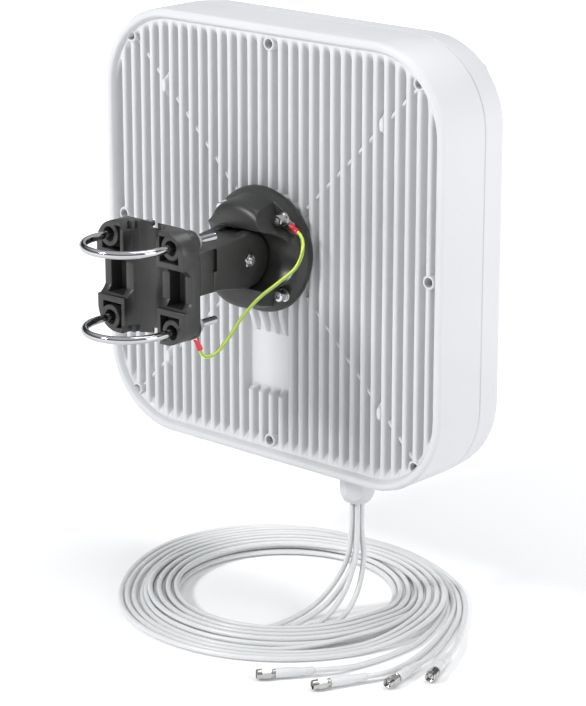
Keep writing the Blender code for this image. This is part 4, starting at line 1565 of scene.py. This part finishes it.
@dataclass
class UBolts:
    """Two U-bolts with threaded legs and four flange nuts."""

    palette: Palette
    half: float = 0.032
    rod: float = 0.006
    bend_depth: float = 0.156
    end_depth: float = 0.0955
    thread_length: float = 0.034
    thread_pitch: float = 0.0010
    nut_seat: float = 0.1207
    lug: float = 0.0009
    bend_steps: int = 40

    def leg(self, x: float) -> Object:
        """The threaded part of one leg.

        Args:
            x: the leg's place across the saddle.

        Returns:
            The leg.
        """
        start, radius = self.end_depth, self.rod / 2
        profile = [(0.0, start), (radius - 0.0009, start), (radius - 0.0002, start + 0.0006)]
        end = start + self.thread_length + 0.001
        for i in range(round(self.thread_length / self.thread_pitch)):
            at = start + 0.0008 + i * self.thread_pitch
            profile += [(radius - 0.00055, at), (radius - 0.00002, at + self.thread_pitch * 0.45),
                        (radius - 0.00002, at + self.thread_pitch * 0.55)]
        profile += [(radius - 0.0003, end), (0.0, end)]
        return Bench.lathe("threaded_leg", profile, (x, BOSS_PLANE_Y, 0), (0, 1, 0), 32)

    def bolt(self) -> Object:
        """One U-bolt in the plane of the mast clamp's middle.

        Returns:
            The bolt.
        """
        threaded, bend = self.end_depth + self.thread_length, self.bend_depth
        half, steps = self.half, self.bend_steps
        points = [depth_point(half, threaded + 0.001 * i, 0) for i in range(3)]
        points += [depth_point(half, threaded + (bend - threaded) * i / 6, 0) for i in range(1, 6)]
        points += [depth_point(half * math.cos(math.pi * i / steps),
                               bend + half * math.sin(math.pi * i / steps), 0) for i in range(steps + 1)]
        points += [depth_point(-p.x, p.y - BOSS_PLANE_Y, 0) for p in reversed(points[:7])]
        bar = tube("u_bolt", points, self.rod, 8)
        return Bench.shade(Bench.merged("u_bolt", [bar, self.leg(half), self.leg(-half)]), 28)

    def nut(self) -> Object:
        """One flange nut with its seat at the origin.

        Returns:
            The nut.
        """
        seat, away = Vector((0, 0, 0)), Vector((0, -1, 0))
        nut = Bench.nut("flange_nut", away * 0.0012, away, 0.0100, 0.0050, 0.0031, 20.0)
        flange = Bench.lathe("flange", [(0.0031, 0.0), (0.0068, 0.0), (0.0070, 0.0003), (0.0069, 0.0010),
                                        (0.0054, 0.0018), (0.0031, 0.0018)], seat, away, 48)
        return Bench.shade(Bench.merged("flange_nut", [nut, flange]), 30)

    def build(self) -> None:
        """Put the two bolts and the four nuts in their places, one nut on top of the earth terminal."""
        heights = [Matrix.Translation((0, 0, self.half)), Matrix.Translation((0, 0, -self.half))]
        for bolt in Bench.repeated(self.bolt(), ["u_bolt_upper", "u_bolt_lower"], heights):
            node = bolt.name.replace("u_bolt", "ubolt")
            dress(bolt, self.palette.steel, node, [node])
        names = ("left_upper", "right_upper", "right_lower", "left_lower")
        places = []
        for name, (sx, sz) in zip(names, corner_signs()):
            seat = self.nut_seat - (self.lug if name == "right_lower" else 0.0)
            places.append(Matrix.Translation(depth_point(sx * self.half, seat, sz * self.half)))
        nuts = Bench.repeated(self.nut(), [f"flange_nut_{name}" for name in names], places)
        for nut, name in zip(nuts, names):
            dress(nut, self.palette.screw, BODY_BRACKET, [f"ubolt_nut_{name}"])


# --------------------------------------------------------------------------- leads


def blend_step(value: float) -> float:
    """A smooth step from 0 to 1."""
    share = min(1.0, max(0.0, value))
    return share * share * (3.0 - 2.0 * share)


def smooth_route(route: Sequence[Vector], step: float) -> list[Vector]:
    """Points at about equal steps along a smooth curve through a route.

    Args:
        route: the points to pass.
        step: the distance between the points.

    Returns:
        The points, both ends included.
    """
    knots = [route[0] * 2 - route[1], *route, route[-1] * 2 - route[-2]]
    fine = [knots[1]]
    for a, b, c, d in zip(knots, knots[1:], knots[2:], knots[3:]):
        before, here, after = (b - a).length, (c - b).length, (d - c).length
        leaving = ((b - a) * here / before + (c - b) * before / here) / (before + here)
        arriving = ((c - b) * after / here + (d - c) * here / after) / (here + after)
        for i in range(1, 13):
            t = i / 12
            fine.append(
                b * (2 * t ** 3 - 3 * t ** 2 + 1) + leaving * here * (t ** 3 - 2 * t ** 2 + t)
                + c * (3 * t ** 2 - 2 * t ** 3) + arriving * here * (t ** 3 - t ** 2)
            )
    lengths = [0.0]
    for a, b in zip(fine, fine[1:]):
        lengths.append(lengths[-1] + (b - a).length)
    count = max(2, round(lengths[-1] / step))
    points, at = [], 0
    for i in range(count + 1):
        wanted = lengths[-1] * i / count
        while at < len(lengths) - 2 and lengths[at + 1] < wanted:
            at += 1
        span = max(lengths[at + 1] - lengths[at], 1e-12)
        points.append(fine[at].lerp(fine[at + 1], min(1.0, (wanted - lengths[at]) / span)))
    return points


def route_length(points: Sequence[Vector]) -> float:
    """Length along a row of points."""
    return sum((b - a).length for a, b in zip(points, points[1:]))


def tube(name: str, points: Sequence[Vector], diameter: float, resolution: int = 3) -> Object:
    """A round tube along points, made as a bevelled curve and turned into a mesh.

    Args:
        name: the object's name.
        points: the centreline.
        diameter: the tube's diameter.
        resolution: how round the section is.

    Returns:
        The mesh object.
    """
    curve = bpy.data.curves.new(name, "CURVE")
    curve.dimensions = "3D"
    curve.bevel_depth = diameter / 2
    curve.bevel_resolution = resolution
    curve.use_fill_caps = True
    spline = curve.splines.new("POLY")
    spline.points.add(len(points) - 1)
    for spot, point in zip(spline.points, points):
        spot.co = (*point, 1.0)
    obj = bpy.data.objects.new(name, curve)
    bpy.context.scene.collection.objects.link(obj)
    Bench.pick(obj)
    bpy.ops.object.convert(target="MESH")
    made = bpy.context.object
    made.name = made.data.name = name
    bpy.ops.object.shade_smooth_by_angle(angle=math.radians(50))
    return made


@dataclass(frozen=True)
class LeadRoute:
    """One lead's way: its hole in the gland, its drop, its place in the coil and its plug."""

    number: int
    gland_offset: Flat
    drop: tuple[Point, ...]
    entry_deg: float
    exit_deg: float
    tail: tuple[Flat, ...]
    tip: Flat
    way: Flat


LEAD_ROUTES = (
    LeadRoute(
        1, (0.00262, 0.00262),
        ((-0.0652, -0.1842, 0.074), (-0.0630, -0.1805, 0.044), (-0.0520, -0.1610, 0.0130),
         (-0.0462, -0.1270, 0.0036), (-0.0400, -0.1060, 0.00235)),
        112.0, 192.0,
        ((-0.1412, -0.1897), (-0.1482, -0.1650), (-0.1488, -0.1380), (-0.1425, -0.1000)),
        (-0.0998, -0.0336), (0.631, 0.776),
    ),
    LeadRoute(
        2, (0.00262, -0.00262),
        ((-0.0652, -0.1894, 0.074), (-0.0665, -0.1855, 0.044), (-0.0622, -0.1640, 0.0160),
         (-0.0575, -0.1400, 0.0055), (-0.0540, -0.1180, 0.00235)),
        126.0, 214.0,
        ((-0.1238, -0.2416), (-0.1376, -0.2200), (-0.1490, -0.1970), (-0.1618, -0.1610),
         (-0.1685, -0.1250)),
        (-0.1443, -0.0465), (0.454, 0.891),
    ),
    LeadRoute(
        3, (-0.00262, 0.00262),
        ((-0.0707, -0.1842, 0.074), (-0.0716, -0.1800, 0.044), (-0.0705, -0.1630, 0.0165),
         (-0.0690, -0.1460, 0.0055), (-0.0667, -0.1300, 0.00235)),
        137.0, 228.0,
        ((-0.1037, -0.2683), (-0.1246, -0.2477), (-0.1438, -0.2212), (-0.1562, -0.1960),
         (-0.1694, -0.1640)),
        (-0.1846, -0.0853), (-0.126, 0.992),
    ),
    LeadRoute(
        4, (-0.00262, -0.00262),
        ((-0.0707, -0.1894, 0.074), (-0.0745, -0.1875, 0.044), (-0.0765, -0.1750, 0.0170),
         (-0.0775, -0.1580, 0.0055), (-0.0775, -0.1430, 0.00235)),
        149.0, 244.0,
        ((-0.0737, -0.2919), (-0.1053, -0.2738), (-0.1290, -0.2504), (-0.1470, -0.2262),
         (-0.1600, -0.2050)),
        (-0.2012, -0.1149), (-0.343, 0.939),
    ),
)


@dataclass
class Coil:
    """The common winding: four leads side by side, in three layers that settle into each other."""

    centre: Flat = (-0.005, -0.173)
    first_radius: float = 0.0876
    pitch: float = 0.0070
    layers: tuple[float, float, float] = (0.0024, 0.00545, 0.0087)
    sway: float = 0.00030
    back_lift: float = 0.18
    rise_at_back: float = 0.0068
    back_widening: float = 0.0045
    turns: int = 4
    second_layer_deg: Flat = (178 - 360, 145 - 360)
    third_layer_deg: Flat = (205 - 720, 170 - 720)
    outer_turn_deg: Flat = (300 - 1080, 175 - 1080)
    outer_places: tuple[float, float, float, float] = (3.95, 4.85, 5.7, 6.5)
    back_deg: float = 131.7
    knot_step_deg: float = 11.0
    entry_blend_deg: float = 62.0
    exit_blend_deg: float = 70.0
    leaving_radius: float = 0.1335

    def shift(self, angle: float, start: float, stop: float) -> float:
        """Share of a move that is done at an unwound angle, between two angles."""
        return blend_step((start - angle) / (start - stop))

    def slot(self, lead: int, angle: float) -> Flat:
        """Where a lead lies in the winding's section.

        Args:
            lead: the lead's number, from 1.
            angle: the unwound angle in degrees, which falls from the entry to the exit.

        Returns:
            The place across the winding in pitches, and the height above the floor.
        """
        low, middle, high = self.layers
        place, height = lead - 1.0, low
        rise = self.shift(angle, *self.second_layer_deg)
        place += 0.5 * rise
        height += (middle - low) * rise
        rise = self.shift(angle, *self.third_layer_deg)
        place -= 0.5 * rise
        height += (high - middle) * rise
        place += (self.outer_places[lead - 1] - place) * self.shift(angle, *self.outer_turn_deg)
        drop = 165.0 if lead == 1 else 195.0
        height += (low - high) * self.shift(angle, drop - 1080, drop - 40 - 1080)
        return place, height

    def points(self, route: LeadRoute) -> list[Vector]:
        """Knots of a lead's winding, from just after its entry to just before its exit.

        Args:
            route: the lead's route.

        Returns:
            The knots in order.
        """
        start = route.entry_deg - 18.0
        stop = route.exit_deg - 360.0 * self.turns + 22.0
        count = round((start - stop) / self.knot_step_deg)
        knots = []
        for i in range(count + 1):
            angle = start + (stop - start) * i / count
            place, height = self.slot(route.number, angle)
            entered = blend_step((route.entry_deg - angle) / self.entry_blend_deg)
            place *= entered
            inner = self.first_radius - 0.0042 * (1.0 - entered)
            turn = math.radians(angle)
            radius = inner + self.pitch * place
            radius += self.sway * math.sin(3.0 * turn + 1.7 * route.number + angle / 97.0)
            away = math.sin((turn - math.radians(self.back_deg)) / 2) ** 2
            lifted = blend_step((50.0 - 1440 + 360 - angle) / 60.0) * blend_step((angle + 1080 + 98.0) / 40.0)
            height *= 1.0 + self.back_lift * away ** 2
            height += self.rise_at_back * lifted
            radius += self.back_widening * away ** 2
            leaving = blend_step((angle - stop) / self.exit_blend_deg)
            radius += (1.0 - leaving) * max(0.0, self.leaving_radius - radius) * 0.8
            height = height * leaving + self.layers[0] * (1.0 - leaving)
            knots.append(Vector((self.centre[0] + radius * math.cos(turn),
                                 self.centre[1] + radius * math.sin(turn), FLOOR_Z + height)))
        return knots


@dataclass
class Lead:
    """A coaxial lead from the gland through the coil to its plug."""

    route: LeadRoute
    coil: Coil
    palette: Palette
    diameter: float = 0.0043
    gland_x: float = -0.068
    gland_y: float = -0.187
    gland_face_z: float = -0.2010
    axis_height: float = 0.0049
    plug_length: float = 0.044
    cable_end: float = 0.026

    def centreline(self) -> list[Vector]:
        """The whole lead's line, from inside the gland to inside the plug's sleeve.

        Returns:
            The line's points in order.
        """
        x = self.gland_x + self.route.gland_offset[0]
        y = self.gland_y + self.route.gland_offset[1]
        top = [Vector((x, y, self.gland_face_z + lift)) for lift in (0.012, 0.0, -0.006)]
        drop = [Vector((px, py, FLOOR_Z + height)) for px, py, height in self.route.drop]
        rest = FLOOR_Z + self.diameter / 2 + 0.00015
        tail = [Vector((px, py, rest)) for px, py in self.route.tail]
        tip = Vector((*self.route.tip, FLOOR_Z + self.axis_height))
        back = -Vector((*self.route.way, 0.0)).normalized()
        ends = (self.plug_length + 0.010, self.plug_length + 0.002, 0.036, self.cable_end)
        sleeve = [tip + back * distance for distance in ends]
        line = smooth_route([*top, *drop, *self.coil.points(self.route), *tail, *sleeve], 0.0055)
        for point in line:
            point.z = max(point.z, rest)
        return line

    def build(self) -> Object:
        """Make the lead's tube.

        Returns:
            The tube.
        """
        number = self.route.number
        line = self.centreline()
        obj = tube(f"coaxial_lead_{number}", line, self.diameter)
        dress(obj, self.palette.jacket,
              nodes=[f"cable_drop_{number}", f"cable_tail_{number}", "cable_coil"])
        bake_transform(obj)
        LOG.info("lead %d is %.3f m long", number, route_length(line))
        return obj


# --------------------------------------------------------------------------- earth bond


@dataclass
class EarthBond:
    """Two ring terminals with crimp sleeves and the striped wire between them."""

    palette: Palette
    thickness: float = 0.0006
    sleeve_radius: float = 0.0023
    wire: float = 0.0028
    route: tuple[Point, ...] = (
        (-0.0545, 0.0228, 0.0120), (-0.0520, 0.0265, -0.0010), (-0.0480, 0.0430, -0.0115),
        (-0.0445, 0.0600, -0.0200), (-0.0410, 0.0770, -0.0335), (-0.0388, 0.0920, -0.0490),
        (-0.0374, 0.1050, -0.0570),
    )
    leaving: Point = (-0.90, 0.24, -0.36)
    arriving: Point = (-0.16, -0.30, -0.94)

    def terminal(self, name: str, ring: Vector, normal: Vector, along: Vector, lift: float,
                 run: Vector, hole: float) -> tuple[Object, Object, Vector]:
        """One ring terminal.

        Args:
            name: the terminal's name.
            ring: the middle of the ring's lower face.
            normal: the ring's upward direction.
            along: the direction of its tongue.
            lift: how far the sleeve's axis lies above the ring's lower face.
            run: the sleeve's direction and length.
            hole: the radius of the ring's hole.

        Returns:
            The tinned ring, the sleeve, and the point where the wire leaves.
        """
        along = along.normalized()
        side = normal.cross(along)
        top = self.thickness
        disc = Bench.lathe(name, [(hole, 0.0), (hole + 0.0023, 0.0), (hole + 0.0025, 0.0002),
                                  (hole + 0.0025, top - 0.0002), (hole + 0.0023, top), (hole, top)],
                           ring, normal, 56)
        outline = [ring + along * reach + side * across + normal * 0.0001
                   for reach, across in ((hole + 0.001, -0.0026), (0.0085, -0.0020), (0.0112, -0.0019),
                                         (0.0112, 0.0019), (0.0085, 0.0020), (hole + 0.001, 0.0026))]
        Bench.join(disc, Bench.extrusion("tongue", outline, normal * (top - 0.0002)))
        start = ring + along * 0.0098 + normal * lift
        length = run.length
        r = self.sleeve_radius
        sleeve = Bench.lathe(name + "_sleeve", [
            (0.0, 0.0), (r - 0.0005, 0.0), (r - 0.0001, 0.0004), (r, 0.0012), (r - 0.0003, 0.0022),
            (r - 0.00035, length * 0.5), (r - 0.0001, length * 0.62), (r, length * 0.72),
            (r, length - 0.0004), (r - 0.0004, length), (self.wire / 2 + 0.0001, length),
            (self.wire / 2 + 0.0001, length - 0.0008), (0.0, length - 0.0008)], start, run, 40)
        return Bench.shade(disc, 30), Bench.shade(sleeve, 45), start + run

    def centreline(self, upper: Vector, lower: Vector) -> list[Vector]:
        """The wire's line from one sleeve to the other.

        Args:
            upper: where the wire leaves the upper sleeve.
            lower: where it enters the lower sleeve.

        Returns:
            The line's points in order.
        """
        first, last = Vector(self.leaving), Vector(self.arriving)
        middle = [depth_point(x, depth, z) for x, depth, z in self.route]
        return smooth_route([upper - first * 0.0006, upper + first * 0.0050, *middle,
                             lower + last * 0.0050, lower - last * 0.0006], 0.0040)

    def striped_wire(self, line: Sequence[Vector]) -> Object:
        """The wire as a mesh tube that knows how far round it each point lies.

        Args:
            line: the wire's centreline.

        Returns:
            The wire.
        """
        wire = tube("earth_bond_wire", line, self.wire, 5)
        around = wire.data.attributes.new("around", "FLOAT", "POINT")
        side = Vector((0.0, 0.0, 1.0))
        for index, vertex in enumerate(wire.data.vertices):
            nearest = min(range(len(line)), key=lambda i: (line[i] - vertex.co).length_squared)
            ahead = (line[min(nearest + 1, len(line) - 1)] - line[max(nearest - 1, 0)]).normalized()
            across = (side - ahead * side.dot(ahead)).normalized()
            other = ahead.cross(across)
            out = vertex.co - line[nearest]
            turn = math.atan2(out.dot(other), out.dot(across)) / math.tau
            around.data[index].value = turn + 0.5
        return wire

    def build(self) -> None:
        """Model the terminals and the wire."""
        palette = self.palette
        upper = self.terminal("upper_terminal", depth_point(-0.030, 0.0164, 0.030), Vector((0, 1, 0)),
                              Vector((-0.93, 0, -0.36)), 0.0024, Vector((-0.0085, 0.0022, -0.0033)), 0.0027)
        lower = self.terminal("lower_terminal", depth_point(-0.032, 0.1207, -0.032), Vector((0, -1, 0)),
                              Vector((-0.22, 0, -0.97)), 0.0012, Vector((-0.0016, -0.0030, -0.0090)), 0.0035)
        for (disc, sleeve, _), body, node in ((upper, BODY_PANEL, "earth_lug_upper"),
                                              (lower, BODY_BRACKET, "earth_lug_lower")):
            dress(disc, palette.tin, body, [node])
            dress(sleeve, palette.crimp, body, [node])
        line = self.centreline(upper[2], lower[2])
        wire = dress(self.striped_wire(line), palette.earth, nodes=["earth_wire"])
        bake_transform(wire)


# --------------------------------------------------------------------------- gland and plugs


@dataclass
class CableGland:
    """The gland under the housing: hexagon body, domed cap and rubber insert."""

    palette: Palette
    x: float = -0.068
    y: float = -0.187
    wall: float = -0.174
    face: float = -0.2010
    bore: float = 0.0078

    def build(self) -> None:
        """Model the body and the cap, and finish the nodes inside."""
        x, y, wall, bore = self.x, self.y, self.wall, self.bore
        body = Bench.nut("gland_base", Vector((x, y, wall - 0.0003)), (0, 0, -1), 0.0245, 0.0055, 0.0100)
        shank = Bench.lathe("shank", [(bore, -0.0030), (0.0101, -0.0030), (0.0101, 0.0160), (0.0094, 0.0180),
                                      (bore, 0.0180)], (x, y, wall), (0, 0, 1), 64)
        both = Bench.shade(Bench.merged("gland_base", [body, shank]), 30)
        dress(both, self.palette.gland, BODY_PANEL, ["gland_body"])
        top, face = wall - 0.0061, self.face
        profile = [(bore, top), (0.0120, top), (0.0136, top - 0.0008), (0.0141, top - 0.0020),
                   (0.0141, face + 0.0100), (0.0138, face + 0.0080), (0.0131, face + 0.0058),
                   (0.0121, face + 0.0036), (0.0108, face + 0.0017), (0.0096, face + 0.0006),
                   (0.0086, face), (bore + 0.0004, face), (bore, face + 0.0004)]
        cap = Bench.lathe("gland_dome", profile, (x, y, 0), (0, 0, 1), 96)
        flats = Bench.hexagon("flats", (x, y, face - 0.01), (x, y, top + 0.01), 0.0250)
        Bench.round_edges(flats, lambda a, b: abs(a.x - b.x) + abs(a.y - b.y) < 1e-6, 0.0012, 4)
        Bench.combine(cap, "INTERSECT", [flats])
        dress(Bench.shade(cap, 24), self.palette.gland, BODY_PANEL, ["gland_cap"])
        dress_nodes(self.palette.gland, "gland_locknut")
        dress_nodes(self.palette.rubber, "gland_insert")


@dataclass
class CoaxPlugs:
    """The plugs, each with an inner body, a free-spinning coupling nut and a two-step sleeve.

    A plug is modelled with its open end at the origin and its cable towards -X.
    """

    palette: Palette
    axis_height: float = 0.0049
    cable: float = 0.0043
    length: float = 0.044
    grooves: int = 6
    origin: Vector = field(default_factory=lambda: Vector((0, 0, 0)))
    back: Vector = field(default_factory=lambda: Vector((-1, 0, 0)))

    def body(self) -> Object:
        """The inner body with its centre pin.

        Returns:
            The body.
        """
        body = Bench.lathe("plug_body", [
            (0.0, 0.0010), (0.0003, 0.0010), (0.00046, 0.0016), (0.00046, 0.0030), (0.0019, 0.0030),
            (0.0019, 0.0026), (0.0023, 0.0026), (0.0023, 0.0118), (0.0031, 0.0118), (0.0032, 0.0120),
            (0.0032, 0.0126), (0.0029, 0.0128), (0.0029, 0.0132), (0.0032, 0.0134), (0.0032, 0.0141),
            (0.0029, 0.0143), (0.0029, 0.0257), (0.0, 0.0257)], self.origin, self.back, 48)
        return Bench.shade(body, 30)

    def nut(self) -> Object:
        """The coupling nut with its collar, rear ring and inner thread.

        Returns:
            The nut.
        """
        origin, back = self.origin, self.back
        pieces = [
            Bench.nut("plug_nut", origin + back * 0.0040, back, 0.0080, 0.0075, 0.0030),
            Bench.lathe("collar", [
                (0.0030, 0.0004), (0.0034, 0.0), (0.0037, 0.0003), (0.0038, 0.0012), (0.0038, 0.0040),
                (0.0034, 0.0045), (0.0030, 0.0045)], origin, back, 56),
            Bench.lathe("rear_ring", [
                (0.0025, 0.0095), (0.0036, 0.0112), (0.0037, 0.0114), (0.0037, 0.0117), (0.0034, 0.0118),
                (0.0025, 0.0118)], origin, back, 56),
        ]
        for i in range(self.grooves):
            at = 0.0010 + 0.0012 * i
            pieces.append(Bench.lathe("turn", [(0.0031, at), (0.0027, at + 0.0003), (0.0031, at + 0.0006)],
                                      origin, back, 40))
        return Bench.shade(Bench.merged("plug_nut", pieces), 28)

    def sleeve(self) -> Object:
        """The heat-shrink sleeve, wider over the crimp than over the cable.

        Returns:
            The sleeve.
        """
        inner, end = self.cable / 2 + 0.0001, self.length
        sleeve = Bench.lathe("shrink_sleeve", [
            (inner, end), (0.0026, end), (0.0029, end - 0.0003), (0.0030, end - 0.0012), (0.0031, 0.0330),
            (0.0033, 0.0318), (0.0037, 0.0302), (0.0038, 0.0290), (0.0038, 0.0200), (0.0037, 0.0190),
            (0.0038, 0.0180), (0.0038, 0.0150), (0.0036, 0.0144), (0.0032, 0.0144), (0.0031, 0.0262),
            (inner, 0.0264)], self.origin, self.back, 56)
        return Bench.shade(sleeve, 40)

    def build(self, routes: Sequence[LeadRoute]) -> None:
        """Model one plug and put a copy at the end of each lead.

        Args:
            routes: the leads' routes, in the order of their numbers.
        """
        places = []
        for route in routes:
            turn = Matrix.Rotation(math.atan2(route.way[1], route.way[0]), 4, "Z")
            places.append(Matrix.Translation((*route.tip, FLOOR_Z + self.axis_height)) @ turn)
        count = len(places)
        bodies = Bench.repeated(self.body(), numbered("plug_body", count), places)
        nuts = Bench.repeated(self.nut(), numbered("plug_nut", count), places)
        sleeves = Bench.repeated(self.sleeve(), numbered("shrink_sleeve", count), places)
        palette = self.palette
        for number, (body, nut, sleeve) in enumerate(zip(bodies, nuts, sleeves), 1):
            spins = f"sma_nut_{number}"
            dress(body, palette.nickel, BODY_BRACKET, [f"sma_body_{number}"])
            dress(nut, palette.nickel, spins, [spins])
            dress(sleeve, palette.sleeve, BODY_BRACKET, [f"heat_shrink_{number}"])


# --------------------------------------------------------------------------- studio


@dataclass(frozen=True)
class Lamp:
    """A soft square lamp that faces a point."""

    name: str
    place: Point
    target: Point
    size: float
    power: float

    def hang(self) -> None:
        """Put the lamp into the scene."""
        data = bpy.data.lights.new(self.name, "AREA")
        data.size = self.size
        data.energy = self.power
        lamp = bpy.data.objects.new(self.name, data)
        bpy.context.scene.collection.objects.link(lamp)
        lamp.location = self.place
        lamp.rotation_mode = "QUATERNION"
        lamp.rotation_quaternion = (Vector(self.target) - Vector(self.place)).to_track_quat("-Z", "Y")


@dataclass
class Studio:
    """Pale floor, soft lights and the camera."""

    palette: Palette
    lamps: tuple[Lamp, ...] = (
        Lamp("key_lamp", (0.9, 2.3, 1.7), (0, -0.1, 0), 0.55, 66.0),
        Lamp("side_lamp", (-2.4, -0.7, 0.9), (-0.1, -0.2, 0), 1.2, 25.0),
        Lamp("top_lamp", (-0.3, -0.8, 2.2), (0, -0.2, -0.1), 1.2, 20.0),
    )
    eye: Point = (-1.35587, 1.33524, 0.53056)
    yaw: float = 0.7276
    pitch: float = 0.2968
    lens: float = 136.92
    floor_half: float = 9.0
    horizon_band: tuple[float, float, float, float] = (0.15, 0.24, 1.0, 0.04)
    zenith_band: tuple[float, float, float, float] = (0.40, 0.75, 0.04, 0.80)

    def camera(self) -> None:
        """Set the camera at the wanted viewing angle."""
        data = bpy.data.cameras.new("camera")
        data.lens = self.lens
        data.sensor_width = 36.0
        data.clip_end = 60.0
        camera = bpy.data.objects.new("camera", data)
        bpy.context.scene.collection.objects.link(camera)
        forward = Vector((math.sin(self.yaw) * math.cos(self.pitch),
                          -math.cos(self.yaw) * math.cos(self.pitch), -math.sin(self.pitch)))
        camera.location = self.eye
        camera.rotation_mode = "QUATERNION"
        camera.rotation_quaternion = forward.to_track_quat("-Z", "Y")
        bpy.context.scene.camera = camera

    def sky(self) -> bpy.types.World:
        """A soft sky with a dim band part of the way up, so that polished metal has something to show.

        Returns:
            The world.
        """
        world = bpy.data.worlds.new("studio_sky")
        world.use_nodes = True
        tree = world.node_tree
        background = tree.nodes["Background"]
        background.inputs["Color"].default_value = (0.95, 0.97, 1.0, 1.0)
        place = tree.nodes.new("ShaderNodeTexCoord")
        parts = tree.nodes.new("ShaderNodeSeparateXYZ")
        tree.links.new(place.outputs["Generated"], parts.inputs[0])
        higher = tree.nodes.new("ShaderNodeMath")
        higher.operation = "MAXIMUM"
        for index, band in enumerate((self.horizon_band, self.zenith_band)):
            spread = tree.nodes.new("ShaderNodeMapRange")
            tree.links.new(parts.outputs["Z"], spread.inputs[0])
            for socket, number in enumerate(band, 1):
                spread.inputs[socket].default_value = number
            tree.links.new(spread.outputs[0], higher.inputs[index])
        tree.links.new(higher.outputs[0], background.inputs["Strength"])
        return world

    def build(self) -> None:
        """Make the floor, the lamps, the sky and the camera."""
        self.camera()
        Bench.clear()
        bpy.ops.mesh.primitive_plane_add(size=2 * self.floor_half, location=(0, 0, FLOOR_Z - 0.0002))
        floor = Bench.settled("studio_floor")
        floor.data.materials.append(self.palette.floor)
        for lamp in self.lamps:
            lamp.hang()
        bpy.context.scene.world = self.sky()
        bpy.context.scene.view_settings.view_transform = "Standard"


# --------------------------------------------------------------------------- assembly


def main() -> None:
    """Build every piece in order."""
    logging.basicConfig(level=logging.INFO, format="%(name)s: %(message)s")
    palette = Palette()
    Studio(palette).build()
    Housing(palette).build()
    flange = FootFlange(palette)
    flange.build_flange()
    flange.build_screws()
    arm = TiltArm(palette)
    arm.build_arm()
    arm.build_bolt()
    PoleSaddle(palette).build()
    UBolts(palette).build()
    EarthBond(palette).build()
    CableGland(palette).build()
    coil = Coil()
    CoaxPlugs(palette).build(LEAD_ROUTES)
    for route in LEAD_ROUTES:
        Lead(route, coil, palette).build()


if __name__ == "__main__":
    main()
